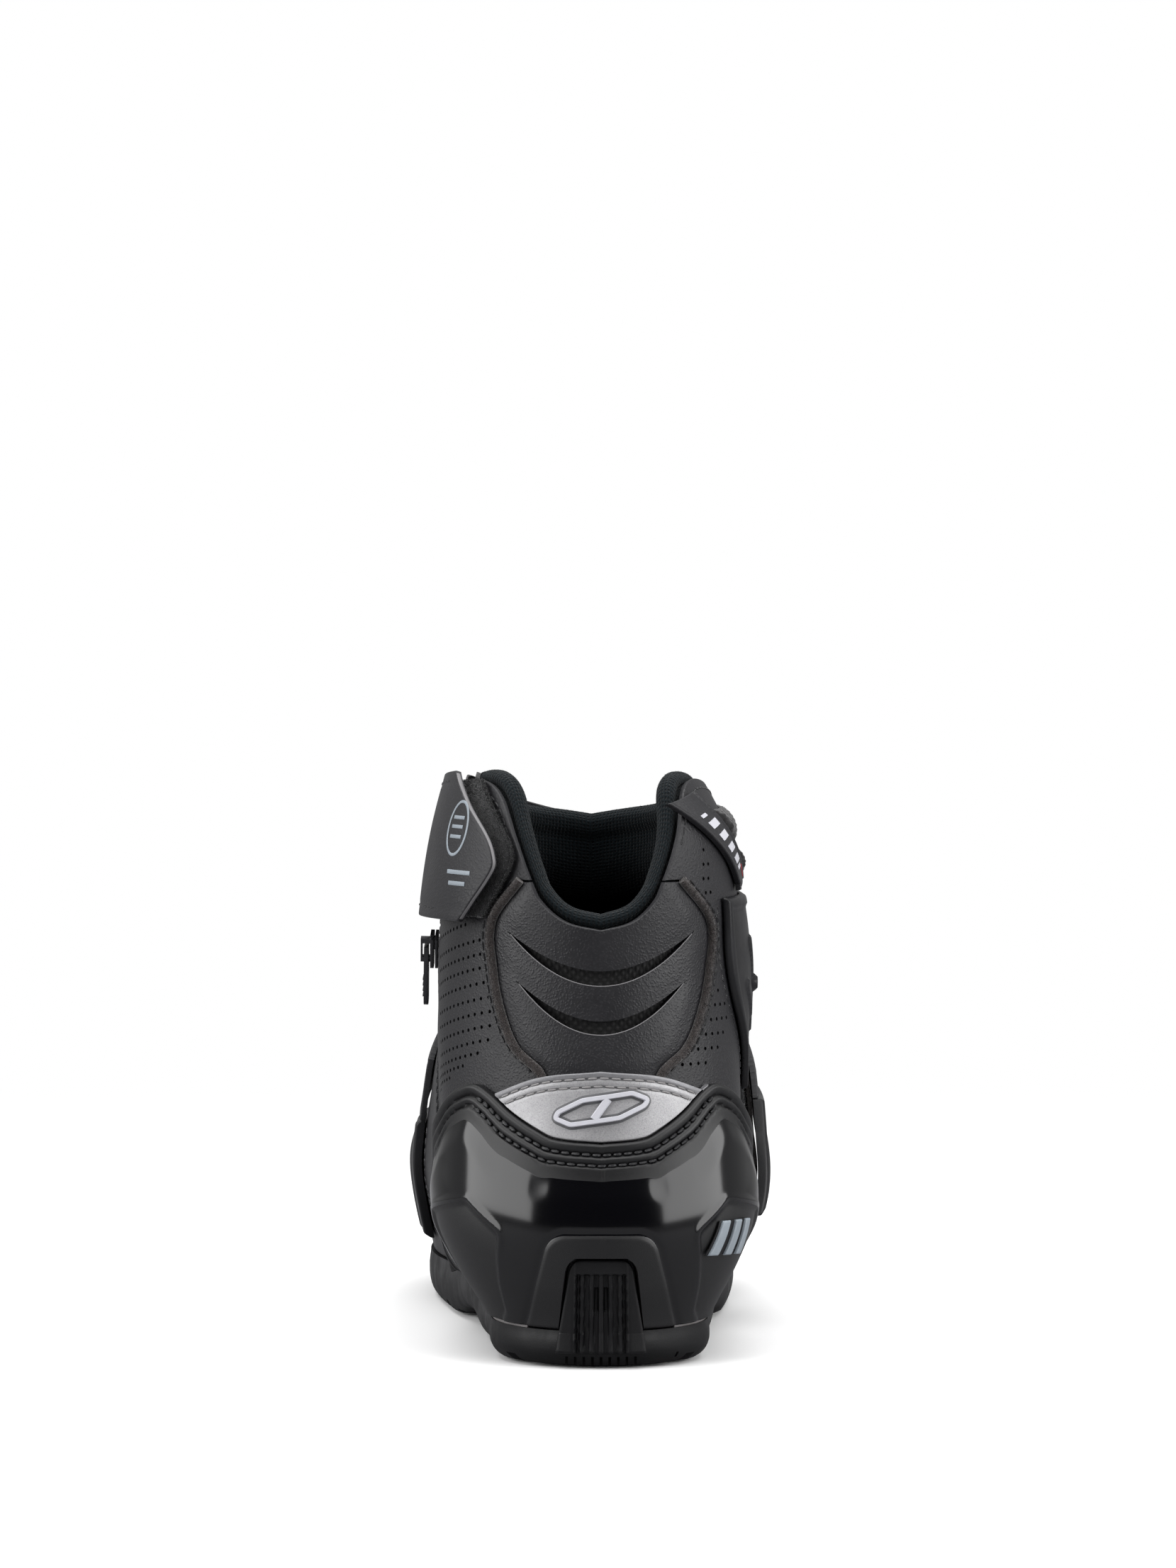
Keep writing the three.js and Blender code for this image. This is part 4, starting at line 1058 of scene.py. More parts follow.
def emblem_path(inset):
    """Corners of a slanted, pointed plate on the badge, x and height."""
    half = EMBLEM["tall"] / 2 - inset
    reach = EMBLEM["width"] / 2 - inset * 1.6
    shares = [-1, -0.55, 0.0, 0.55, 1, 1, 0.55, 0.0, -0.55, -1]
    sides = [1, 1, 1, 1, 1, -1, -1, -1, -1, -1]
    points = []
    for share, side in zip(shares, sides):
        taper = half * (1 - 0.75 * max(0.0, (abs(share) - 0.55) / 0.45))
        points.append((share * reach + side * taper * 0.45,
                       EMBLEM["middle"] + side * taper + share * reach * 0.16))
    return np.array(points)


def closed_path(points, pitch):
    """A closed outline with its corners a little rounded, at an even pitch."""
    loop = np.vstack([points, points[:1]])
    lengths = path_lengths(loop)
    line = interpolate(np.arange(0, lengths[-1], pitch), lengths, loop)
    for _ in range(3):
        line = (np.roll(line, 1, 0) + 2 * line + np.roll(line, -1, 0)) / 4
    return line


def rear_loop(points, depth, profile, closed=True):
    """A bar along points given by x and height on the rear of the boot."""
    turn = turn_at_x(points[:, 0], points[:, 1])
    return sweep(place(turn, points[:, 1], depth), outward(turn, points[:, 1]), profile, closed)


def make_badge():
    obj = panel("badge_film", badge_region, GUARD_INNER, BADGE_OUTER, 0.6, 0.5, extra=badge_relief)
    keep(obj, "silver", nodes=["heel_badge"])
    x = np.linspace(-BADGE_HALF + 1, BADGE_HALF - 1, 160)
    rows = []
    for below in BADGE_SEAMS:
        height = badge_top(np.abs(x)) - below
        clear = height > counter_high(turn_at_x(x, height)) + 1.2
        turn = turn_at_x(x[clear], height[clear])
        rows.append(stitches(turn, height[clear], BADGE_OUTER - 0.06, 2.7, 0.95, 0.3))
    bits("badge_stitches", rows, "grey_thread")
    low = BADGE_OUTER + GAP
    loop = closed_path(emblem_path(EMBLEM["rim"] / 2), 0.4)
    middle = EMBLEM["middle"]
    slash = np.stack([np.linspace(-2.0, 2.0, 12), middle + np.linspace(-3.1, 3.1, 12)], -1)
    raised = [rear_loop(loop, low, pillow(EMBLEM["rim"], 0.9, 0.1)),
              rear_loop(slash, low, pillow(2.4, 0.9, 0.1), False)]
    bits("emblem_mark", raised, "white", nodes=["heel_emblem"])
    # Painted shadow: a thin dark grey ring laid round and under the white emblem.
    rim = [rear_loop(loop, BADGE_OUTER - 0.08, pillow(EMBLEM["rim"] + 1.5, 0.22, 0.1))]
    bits("emblem_rim", rim, "shadow")


MARK = {"reach": 18.5, "height": 39, "length": 12, "tall": 9}


def make_counter_mark():
    low = GUARD_OUTER + 1.2 + GAP

    def at(start, end):
        def view(u, v):
            reach = MARK["reach"] + lerp(start, end, u) * MARK["length"] + (v - 0.5) * 3
            return reach, MARK["height"] + (v - 0.5) * MARK["tall"]
        return side_view(1, view)
    plate = panel("mark_plate", at(-0.5, 0.5), low, low + 0.5, 0.6, 0.3)
    keep(plate, "guard", nodes=["counter_mark"])
    for i, x in enumerate((-0.36, 0, 0.36)):
        one = panel(f"mark_bar_{i}", at(x - 0.1, x + 0.1), low + 0.3, low + 1.4, 0.5, 0.45)
        keep(one, "grey")


# Achilles panel
achilles_half = through((72, 13), (88, 17), (95, 24), (105, 28.2), (118, 30.7), (134, 31), (147, 22.5))
ACHILLES_GAP = 0.9
PIPING = 2.9
PIPING_HAIRS = 2600
VENTS = ({"middle": 117, "half": 27, "width": 4.6}, {"middle": 102, "half": 24.5, "width": 4.2})
VENT_BOW = 14


def achilles_region(spread=0.0, above=0.0):
    low, head = 72 - spread, 146

    def region(u, v):
        height = lerp(low, head, v)
        for _ in range(4):
            turn = turn_at_x((2 * u - 1) * (achilles_half(height) + spread), height)
            height = lerp(low, np.minimum(cuff_edge(turn), head) + above, v)
        return turn, height
    return region


def vent_line(vent, share, side):
    """Height of a vent's lower edge (side -1), middle (0) or upper edge (1) across its width."""
    opening = vent["width"] * (1 - np.abs(share) ** 2.6) * 0.5 + 0.05
    return vent["middle"] + VENT_BOW * share ** 2 + side * opening


def vent_region(vent):
    def region(u, v):
        share = 2 * u - 1
        height = vent_line(vent, share, 2 * v - 1)
        return turn_at_x(share * vent["half"], height), height
    return region


def achilles_relief(turn, height, u, v):
    """Soft padding that sinks towards the seams and rises above and below each vent."""
    x = np.abs(from_middle(turn, height))
    edge = achilles_half(height) - x
    out = 0.9 * smoothstep(edge, 0, 7) * smoothstep(height, 84, 92)
    for vent in VENTS:
        centre = vent_line(vent, x / vent["half"], 0)
        out -= 0.35 * np.exp(-(((height - centre) / 4.5) ** 2)) * smoothstep(vent["half"] + 3 - x, 0, 6)
    return out, {}


def mesh_high(turn):
    return np.minimum(136, cuff_edge(turn) - 1.5)


def make_achilles():
    obj = panel("achilles_leather", achilles_region(), 0, LEATHER, 0.9, 0.5, extra=achilles_relief)
    boolean(obj, [block(vent_region(vent), -2, 5, (48, 2)) for vent in VENTS])
    keep(obj, "leather", nodes=["achilles_panel"], angle=50)
    mesh = panel("achilles_air_mesh", band(-37, 37, fixed(94), mesh_high),
                 -LAYER_GAP - BACKING, -LAYER_GAP, 0.8, 0, extra=weave_relief(1.15, 0.35))
    keep(mesh, "vent", nodes=["achilles_mesh"])
    lips, dashes = [], []
    for vent in VENTS:
        share = np.linspace(-0.97, 0.97, 90)
        height = vent_line(vent, share, -1) + 0.12
        turn = turn_at_x(share * vent["half"], height)
        sink = achilles_relief(turn, height, 0, 0)[0]
        lip = place(turn, height, LEATHER + sink - 0.12)
        lips.append(sweep(lip, outward(turn, height), oval(0.16, 0.12, 6)))
    bits("vent_edges", lips, "strap_edge")
    height = np.linspace(86, 146.5, 160)
    for side, name in ((1, "outer"), (-1, "inner")):
        x = side * (achilles_half(height) + ACHILLES_GAP / 2)
        turn = turn_at_x(x, height)
        up = outward(turn, height)
        path = place(turn, height, LEATHER + GAP + 0.35)
        roll = sweep(path, up, oval(PIPING / 2, 1.2, 12))
        chance = np.random.default_rng(11)
        pick = chance.integers(2, len(path) - 2, PIPING_HAIRS)
        spin = chance.uniform(0.1, math.pi - 0.1, PIPING_HAIRS)[:, None]
        across = unit(np.cross(np.gradient(path, axis=0), up))
        around_axis = unit(up[pick] * np.sin(spin) + across[pick] * np.cos(spin))
        slide = (path[pick + 1] - path[pick]) * chance.random((PIPING_HAIRS, 1))
        fuzz = hairs(path[pick] + slide + around_axis * [PIPING / 2], around_axis, 0.4, 0.09, 12)
        bits(f"piping_{name}", [roll, fuzz], "piping", nodes=[f"achilles_piping_{name}"])
        beside = turn_at_x(x[6:] + side * 2.6, height[6:])
        dashes.append(stitches(beside, height[6:], LEATHER + 0.06, 2.5, 0.8, 0.42))
    bits("achilles_stitches", dashes, "thread")


def weave_relief(pitch, tall):
    """A basket of threads, as relief."""
    def relief(turn, height, u, v):
        x = around(turn, height)
        a = np.sin((x + height) * math.pi / pitch)
        b = np.sin((x - height) * math.pi / pitch)
        return tall * a * b * 0.5, {}
    return relief


# ---- Upper: leather quarters, vamp and shin panel ----
vamp_rear = through((0, 84), (0.5, 106), (1, 142))
VAMP_TOP = 96
ZIP_TOP = (58, 178)
ZIP_FOOT = (103, 34)
HOLE_PITCH = 2.3
ROW_PITCH = 4.3
HOLE_RADIUS = 0.6
HOLE_DEEP = 1.2


def vamp_region(u, v):
    rear = vamp_rear(np.clip(v, 0, 1))
    turn = lerp(rear, 360 - rear, u)
    return turn, lerp(foot(turn), VAMP_TOP, v)


def vamp_and_below(u, v):
    return vamp_region(u, lerp(-1 / 6, 1, v))


def zip_place(share, off):
    """Reach and height at a share of the way up the zip, moved forward by off."""
    return lerp(ZIP_FOOT[0], ZIP_TOP[0], share) + off, lerp(ZIP_FOOT[1], ZIP_TOP[1], share)


def zip_region(width, low=0.0, high=1.0):
    return side_view(-1, lambda u, v: zip_place(lerp(low, high, v), (0.5 - u) * width))


def spread_out(region, by):
    """A region made wider by a share of itself at both sides."""
    return lambda u, v: region(lerp(-by, 1 + by, u), v)


def prism(outline, low, high):
    """Points and faces of an outline carried from one level to another."""
    count = len(outline)
    points = [[x, y, z] for z in (low, high) for x, y in outline]
    sides = [[i, (i + 1) % count, (i + 1) % count + count, i + count] for i in range(count)]
    return np.array(points, float), sides + [list(range(count))[::-1], list(range(count, 2 * count))]


def punched(turns, heights, depth):
    """Eight-sided pins for punching holes through a layer, their X along the pin."""
    points, faces = prism(oval(HOLE_RADIUS, HOLE_RADIUS), -HOLE_DEEP, HOLE_DEEP)
    normals = outward(turns, heights)
    return scatter((points[:, [2, 0, 1]], faces), place(turns, heights, depth), normals,
                   np.tile([0, 0.3, 1.0], (len(turns), 1)))


# x of each inner row's rearmost hole, by height
row_rear = through((74, -51), (79, -48.2), (83, -46.2), (89, -40.8), (95, -34.8), (99, -32.9),
                   (112, -33.2), (117, -35.5), (129, -36), (132, -40))


def inner_holes():
    turns, heights = [], []
    for row in range(14):
        start = 132 - row * ROW_PITCH
        turn = turn_at_x(row_rear(start), start)
        reach = float(on_last(turn, start)[1])
        for i in range(18):
            height = start - 0.27 * i * HOLE_PITCH
            here = reach + i * HOLE_PITCH
            zip_reach = lerp(ZIP_FOOT[0], ZIP_TOP[0], (height - ZIP_FOOT[1]) / (ZIP_TOP[1] - ZIP_FOOT[1]))
            edge = float(counter_high(turn_at_reach(here, height, -1)))
            if here > zip_reach - 11 or i > 11 or height < edge + 5:
                break
            turns.append(float(turn_at_reach(here, height, -1)))
            heights.append(height)
    return np.array(turns), np.array(heights)


def outer_holes():
    turns, heights = [], []
    for row in range(16):
        height = 155 - row * ROW_PITCH
        turn = float(turn_at_x(achilles_half(np.array(min(height, 143.0))) + 4.6, height))
        for i in range(4):
            reach = float(on_last(turn, height)[1])
            if reach > float(guard_rear(np.array(height))) - 5 or height > float(cuff_edge(turn)) - 5:
                break
            turns.append(turn)
            heights.append(height)
            turn += 2.9
    return np.array(turns), np.array(heights)


def vamp_holes():
    turns, heights = [], []
    for row in range(7):
        for i in range(-7 + row // 2, 8 - row // 2):
            turns.append(180 + i * 3.3 + (row % 2) * 1.6)
            heights.append(58 + row * 3.6)
    return np.array(turns), np.array(heights)


def quarter(name, start, end, node, holes):
    def region(u, v):
        turn = lerp(start, end, u)
        return turn, lerp(foot(turn), cuff_edge(turn), v)
    obj = panel(name, region, 0, LEATHER, 1.25, 0.6)
    cuts = [block(spread_out(vamp_and_below, 0.002), -3, 6, (60, 30)),
            block(achilles_region(ACHILLES_GAP, 0.6), -3, 6, (30, 40)),
            block(zip_region(ZIP_SLOT, 0, 1.05), -3, 6, (4, 40))]
    boolean(obj, cuts)
    boolean(obj, [punched(*holes, LEATHER - 0.2)])
    return keep(obj, "leather", nodes=[node], angle=38)


def side_row(side, place_at):
    """A row of stitches along a line of the side view."""
    reach, height = place_at(np.linspace(0, 1, 120))
    return stitches(turn_at_reach(reach, height, side), height, ON_LEATHER)


def make_upper():
    front = 180 - FLEX_HALF - 0.4
    quarter("outer_leather", 0.5, front, "outer_quarter", outer_holes())
    quarter("inner_leather", -front, -0.5, "inner_quarter", inner_holes())
    rows = []
    for off in (ZIP_SLOT / 2 + 1.8, -ZIP_SLOT / 2 - 1.8):
        rows.append(side_row(-1, lambda s, off=off: zip_place(lerp(0.06, 0.95, s), off)))
    for start, end in ((34, 150), (-150, -106), (-84, -34)):
        turn = np.linspace(start, end, 160)
        rows.append(stitches(turn, cuff_edge(turn) - 3, ON_LEATHER))
    v = np.linspace(0.03, 0.97, 120)
    for off in (2.2, 4.4):
        for side in (1, -1):
            turn = side * (vamp_rear(v) + off * 0.72)
            rows.append(stitches(turn, lerp(foot(turn), VAMP_TOP, v), ON_LEATHER))
    height = np.linspace(100, 168, 90)
    for side in (1, -1):
        rows.append(stitches(side * (front - 2.2) + 0 * height, np.minimum(height, 164), ON_LEATHER))
    bits("upper_stitches", rows, "thread")
    vamp = panel("vamp_leather", vamp_region, 0, LEATHER, 1.3, 0.6, extra=vamp_relief)
    boolean(vamp, [punched(*vamp_holes(), LEATHER - 0.2)])
    keep(vamp, "leather", nodes=["vamp"], angle=38)
    flex_foot = VAMP_TOP + 2 * GAP
    flex = panel("shin_flex", band(180 - FLEX_HALF, 180 + FLEX_HALF, fixed(flex_foot), cuff_edge),
                 0, flex_depth, 0.8, 0.6)
    keep(flex, "leather", nodes=["shin_flex_panel"])
    seams = []
    turn = np.linspace(180 - FLEX_HALF + 1.5, 180 + FLEX_HALF - 1.5, 80)
    for rib in range(1, FLEX_RIBS):
        seams.append(stitches(turn, lerp(flex_foot, cuff_edge(turn), rib / FLEX_RIBS), LEATHER + 0.1))
    bits("flex_stitches", seams, "thread")


def vamp_relief(turn, height, u, v):
    """Toe box creases across the flex of the foot."""
    reach = on_last(turn, height)[..., 1]
    crease = sum(np.exp(-(((reach - at - 0.18 * (height - 60)) / 2.2) ** 2)) for at in (176, 186, 197))
    return -0.28 * crease * smoothstep(height, 46, 66), {}


def flex_depth(u, v):
    wave = (np.sin(math.pi * FLEX_RIBS * v) ** 2) ** 0.7
    return LEATHER + 1.8 * wave * (1 - smoothstep(v, 0.75, 0.9)) * smoothstep(np.minimum(u, 1 - u), 0, 0.05)


# ---- Collar and lining ----
COLLAR_SECTION = 64
COLLAR_TURNS = 640


SLIT_PITCH = 1.7
SLIT_ROW = 1.5
# Depth, and height above the leather's edge, round the collar's section
collar_depth = through((0.0, -3.0), (0.06, -2.45), (0.25, -2.35), (0.32, -2.0), (0.37, -1.3), (0.42, -0.75),
                       (0.47, -1.6), (0.52, -4.2), (0.57, -7.0), (0.62, -7.8), (0.67, -7.4), (0.72, -7.9),
                       (0.82, -9.2), (0.92, -8.4), (0.97, -6.4), (1.0, -4.4))
collar_rise = through((0.0, -23.6), (0.06, -21), (0.25, -4), (0.32, -0.4), (0.37, 0.5), (0.42, 1.8),
                      (0.47, 3.6), (0.52, 4.6), (0.57, 3.4), (0.62, 0.4), (0.67, -2.6), (0.72, -5),
                      (0.82, -13), (0.92, -20.5), (0.97, -23), (1.0, -24))


def make_collar():
    turn, share = np.meshgrid(np.linspace(-180, 180, COLLAR_TURNS, endpoint=False),
                              np.linspace(0, 1, COLLAR_SECTION))
    points = place(turn, cuff_edge(turn) + collar_rise(share), collar_depth(share))
    along = np.cumsum(np.linalg.norm(np.diff(points[20], axis=0, append=points[20][:1]), axis=1))
    x, y = np.meshgrid(along, path_lengths(points[:, 0]))
    rows = np.round(y / SLIT_ROW)
    beside = ((x / SLIT_PITCH + (rows % 2) / 2 + 0.5) % 1 - 0.5) * SLIT_PITCH
    slit = np.exp(-((beside / 0.42) ** 2) - ((y - rows * SLIT_ROW) / 0.34) ** 2)
    roll = smoothstep(share, 0.3, 0.36) * (1 - smoothstep(share, 0.62, 0.67))
    folds = 0.25 * np.sin(x / 9.0) * np.sin(x / 14.3 + 1) * roll
    puff = 0.5 * np.sin(x * 2 * math.pi / along[-1] * 9) ** 2 * smoothstep(share, 0.7, 0.8)
    middle = points.mean(0, keepdims=True)
    away = unit(points - middle)
    points = points + away * (folds + puff - 0.34 * slit * (roll + 0.6 * (share > 0.68)))[..., None]
    quads = np.concatenate([grid_faces(COLLAR_SECTION, COLLAR_TURNS, True),
                            closing_faces(COLLAR_SECTION, COLLAR_TURNS)])
    obj = new_object("collar_padding", points.reshape(-1, 3), quads.tolist())
    add_uv(obj, np.stack([x.ravel(), y.ravel()], -1) * MM)
    outside(obj)
    boolean(obj, [block(zip_region(1, 0.4, 1.1), -14, 3, (1, 12))])
    keep(obj, "knit", nodes=["collar_pad"], angle=60)
    chance = np.random.default_rng(3)
    count = 5200
    pick = np.stack([chance.integers(20, 44, count), chance.integers(0, COLLAR_TURNS, count)])
    spots = points[pick[0], pick[1]]
    fuzz = hairs(spots, away[pick[0], pick[1]], 0.42, 0.05, 4)
    bits("collar_fuzz", [fuzz], "knit")


def collar_foot(turn):
    return cuff_edge(turn) - COLLAR_DROP


def lining_foot(turn):
    return foot(turn) + 0.6 + 2 + GAP


def make_lining():
    region = band(-180, 180, lining_foot, lambda t: collar_foot(t) - 2 * GAP)
    obj = panel("lining_sleeve", region, LINING_OUTER - LINING, LINING_OUTER, 2.4, 0.8, ring=True)
    boolean(obj, [block(zip_region(1, 0, 1.1), -14, 3, (1, 30)),
                  block(spread_out(vamp_and_below, 0.002), -12, 3, (60, 30))])
    keep(obj, "lining", nodes=["quarter_lining"], angle=50)
    vamp = panel("vamp_sleeve", lambda u, v: vamp_region(u, lerp(0.06, 1, v)), LINING_OUTER - LINING,
                 LINING_OUTER, 2.4, 0.8)
    keep(vamp, "lining", nodes=["vamp_lining"])


# ---- Guards, label and ribs on the outer side ----
guard_rear = through((78, 66), (90, 54), (105, 42), (120, 37), (143, 36))
guard_front = through((78, 84), (90, 103), (105, 108), (120, 104), (143, 84))
label_path = through((143.5, 57), (150, 50), (158, 40), (166, 31), (173, 24))


def line_distance(x, y, start, end):
    dx, dy = end[0] - start[0], end[1] - start[1]
    t = np.clip(((x - start[0]) * dx + (y - start[1]) * dy) / (dx * dx + dy * dy), 0, 1)
    return np.hypot(x - start[0] - t * dx, y - start[1] - t * dy)


# Lower and upper edge and far end of each mark, as shares of the label
LABEL_MARKS = ((0.2, 0.24, 0.62), (0.27, 0.34, 0.74), (0.4, 0.47, 0.74), (0.53, 0.6, 0.74),
               (0.66, 0.73, 0.74), (0.78, 0.81, 0.55))
EMBOSSED = [((70, 112), (70, 99)), ((70, 112), (58, 125)), ((70, 112), (84, 125)),
            ((52, 112), (60, 104)), ((90, 108), (82, 98))]


def ankle_relief(turn, height, u, v):
    reach = on_last(turn, height)[..., 1]
    edge = np.minimum(np.minimum(u, 1 - u) * 65, np.minimum(v, 1 - v) * 61)
    out = 0.7 * smoothstep(edge, 0.2, 1.2) * (1 - smoothstep(edge, 2.8, 4.2))
    for start, end in EMBOSSED:
        out += 0.75 * smoothstep(line_distance(reach, height, start, end), 2.6, 1.9)
    return out - 0.2, {}


def within(region, u_range, v_range):
    """Part of a region, by shares of it."""
    return lambda u, v: region(lerp(*u_range, u), lerp(*v_range, v))


def make_outer_side():
    def face(u, v):
        height = lerp(79, 140, v)
        return lerp(guard_rear(height), guard_front(height), u), height

    def depth(u, v):
        return GUARD_INNER + OVERLAY * 0.6 + 1.8 * np.sin(math.pi * u) * np.sin(math.pi * v)
    guard = panel("ankle_shell", side_view(1, face), GUARD_INNER, depth, 0.7, 1.0, extra=ankle_relief)
    keep(guard, "guard", nodes=["ankle_guard"])

    def label_view(u, v):
        height = lerp(143, 170, v) + (u - 0.5) * 3
        return label_path(height) + (u - 0.5) * 15, height
    label = side_view(1, label_view)

    def label_relief(turn, height, u, v):
        edge = np.minimum(u, 1 - u) * 15
        return 0.4 * smoothstep(edge, 1.5, 0.9), {}
    band_top = GUARD_INNER + 1.4
    obj = panel("label_strip", label, GUARD_INNER, band_top, 0.4, 0.5, extra=label_relief)
    keep(obj, "strap", nodes=["label_band"])
    marks = [block(within(label, (0.3, far), (low, high)), band_top - 0.05, band_top + 0.16, (8, 2))
             for low, high, far in LABEL_MARKS]
    bits("label_marks", marks, "white")
    bits("label_accent", [block(within(label, (0.72, 0.8), (0.06, 0.2)), band_top - 0.05, band_top + 0.18,
                                (2, 3))], "red")
    for name, low, high, swell in (("lower", 145, 154, 2.6), ("upper", 156, 166, 2.2)):
        def view(u, v, low=low, high=high):
            height = lerp(low, high, v)
            return lerp(label_path(height) + 10, 101, u), height

        def rib_depth(u, v, swell=swell):
            ends = smoothstep(np.minimum(u, 1 - u), 0, 0.05)
            return LEATHER + GAP + 0.6 + swell * np.sin(math.pi * v) ** 0.7 * ends
        rib = panel(f"rib_{name}", side_view(1, view), LEATHER + GAP, rib_depth, 0.45, 0.5,
                    extra=weave_relief(1.3, 0.4))
        keep(rib, "air", nodes=[f"side_rib_{name}"])
    rows = []
    for edge, off in ((guard_rear, -2.4), (guard_front, 2.4)):
        rows.append(side_row(1, lambda share, edge=edge, off=off: (
            edge(lerp(84, 138, share)) + off, lerp(84, 138, share))))
    bits("guard_stitches", rows, "thread")


def make_toe():
    pad_rear = through((20, 172), (40, 163), (62, 160))

    def pad(u, v):
        height = lerp(22, 61, v)
        rear = turn_at_reach(pad_rear(height), height, -1)
        return lerp(lerp(-150, -178, v), rear, u), height

    def pad_depth(u, v):
        edge = smoothstep(u, 0.9, 0.97)
        rib = 0.9 * smoothstep(np.abs((6 * u + 0.5) % 1 - 0.5), 0.06, 0.2) * (1 - edge)
        return GUARD_INNER + 1.3 + lerp(rib, 1.6, edge) * smoothstep(np.minimum(v, 1 - v), 0, 0.06)
    obj = panel("shift_shell", pad, GUARD_INNER, pad_depth, 0.6, 0.7)
    keep(obj, "guard", nodes=["shift_pad"])
    toe_outer = GUARD_INNER + 2.2
    toe_foot = seat(toe_outer)

    def toe_high(turn):
        return toe_foot(turn) + 22 * np.sin(np.radians((turn - 106) / 68 * 180)) ** 0.5

    def toe_relief(turn, height, u, v):
        ridge = 0.5 * smoothstep(v, 0.72, 0.8) - 0.35 * np.exp(-(((v - 0.5) / 0.03) ** 2))
        lines = -0.45 * smoothstep(np.abs((u * 9) % 1 - 0.5), 0.07, 0.03) * smoothstep(0.6 - v, 0, 0.1)
        return ridge + lines, {}
    obj = panel("toe_shell", band(110, 170, toe_foot, toe_high), GUARD_INNER, toe_outer, 0.7, 0.8,
                extra=toe_relief)
    keep(obj, "guard", nodes=["toe_guard"])
    v = np.linspace(0.05, 0.95, 60)
    height = lerp(22, 61, v)
    turn = turn_at_reach(pad_rear(height) - 3, height, -1)
    bits("pad_stitches", [stitches(turn, height, ON_LEATHER)], "thread")


# ---- Straps ----
CUFF = {"anchor": 126, "root": 142, "pads": 284, "climb": 14}
RIM_HAIRS = 3200
# Middle, half length, height, width and points of each printed line
STRAP_PRINT = ((306.5, 3.1, 157.6, 1.1, 12), (306.5, 3.1, 160.4, 1.1, 12), (306.5, 3.1, 163.0, 1.1, 12),
               (311, 5.6, 147.5, 1.3, 14), (311, 4.0, 144.2, 1.3, 14))
cuff_low = through((115, 124), (142, 125), (180, 127), (232, 131), (300, 133), (330, 133))
cuff_high = through((115, 148), (142, 152), (180, 158), (232, 170), (300, 177), (330, 177))
tip_turn = through((0, 314), (0.33, 324), (0.42, 325), (0.58, 320.5), (0.78, 308), (1, 293))
loop_turn = through((0, 319), (0.35, 327), (0.5, 327.5), (0.72, 319), (1, 304))


def cuff_region(start, end, inset=0.0):
    def region(u, v):
        turn = lerp(start(v), end(v), u)
        return turn, lerp(cuff_low(turn) + inset, cuff_high(turn) - inset, v)
    return region


def cuff_rise(turn):
    return lerp(GUARD_INNER, STRAP_INNER, smoothstep(turn, CUFF["root"], CUFF["root"] + CUFF["climb"]))


def strap_relief(turn, height, u, v):
    edge = np.minimum(v, 1 - v) * 40
    return -0.22 * np.exp(-(((edge - 3.2) / 0.5) ** 2)), {}


def make_cuff_strap():
    region = cuff_region(fixed(CUFF["anchor"]), tip_turn)
    obj = panel("cuff_band", region, lambda u, v: cuff_rise(region(u, v)[0]),
                lambda u, v: cuff_rise(region(u, v)[0]) + STRAP_THICK, 1.1, 0.6, extra=strap_relief)
    keep(obj, "strap", None, ["cuff_strap", "cuff_strap_anchor"])
    root = place(CUFF["root"], 138, GUARD_INNER) * MM
    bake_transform(obj)
    arm = "cuff_strap_arm"
    top = STRAP_INNER + STRAP_THICK
    v = np.linspace(0.02, 0.98, 120)
    turn = tip_turn(v)
    edge = sweep(place(turn, lerp(cuff_low(turn), cuff_high(turn), v), STRAP_INNER + STRAP_THICK * 0.55),
                 outward(turn, 150 + 0 * v), oval(0.18, 0.62, 8))
    bits("cuff_edge_line", [edge], "strap_edge", arm)
    rows = []
    for low in (True, False):
        turn = np.linspace(CUFF["root"] + 20, 300 if low else 290, 240)
        height = cuff_low(turn) + 3.2 if low else cuff_high(turn) - 3.2
        rows.append(stitches(turn, height, top - 0.1))
    bits("cuff_stitches", rows, "thread", arm)
    angle = np.linspace(0, 2 * math.pi, 60, endpoint=False)
    ring = [306.5 + 5.4 * np.cos(angle), 160.0 + 7.6 * np.sin(angle)]
    print_depth = top - 0.02
    parts = [sweep(place(*ring, print_depth), outward(*ring), pillow(0.9, 0.2, 0.05), True)]
    for turn, half, at, wide, count in STRAP_PRINT:
        line = [np.linspace(turn - half, turn + half, count), np.full(count, at)]
        parts.append(sweep(place(*line, print_depth), outward(*line), pillow(wide, 0.18, 0.05)))
    bits("cuff_print", parts, "grey", arm)
    hooks = cuff_region(fixed(CUFF["pads"] + 2), lambda v: tip_turn(v) - 2, 2)
    hook_pad("cuff", hooks, 1.2, arm)
    loops = cuff_region(fixed(CUFF["pads"]), loop_turn, 1.5)
    rim = np.random.default_rng(8).random(RIM_HAIRS)
    turn = loop_turn(rim)
    height = lerp(cuff_low(turn) + 1.5, cuff_high(turn) - 1.5, rim)
    back = np.cross(outward(turn, height), [0, 0, 1.0])
    drop = GUARD_INNER + 0.3 + 1.4 * np.random.default_rng(9).random(RIM_HAIRS)
    lean = unit(outward(turn, height) * 0.3 - back)
    loop_pad("cuff", loops, 1.2, 9000, 21, [hairs(place(turn, height, drop), lean, 1.3, PILE_WIDTH, 22)])


PILE_TALL = 0.8
PILE_WIDTH = 0.09


def hook_pad(strap, region, step, arm):
    pad = panel(f"{strap}_hooks", region, HOOK_INNER, HOOK_OUTER, step, 0.3)
    keep(pad, "hook", arm, [f"{strap}_hook_pad"])
    bits(f"{strap}_hook_pins", [hook_rows(region, HOOK_INNER)], "hook", arm)


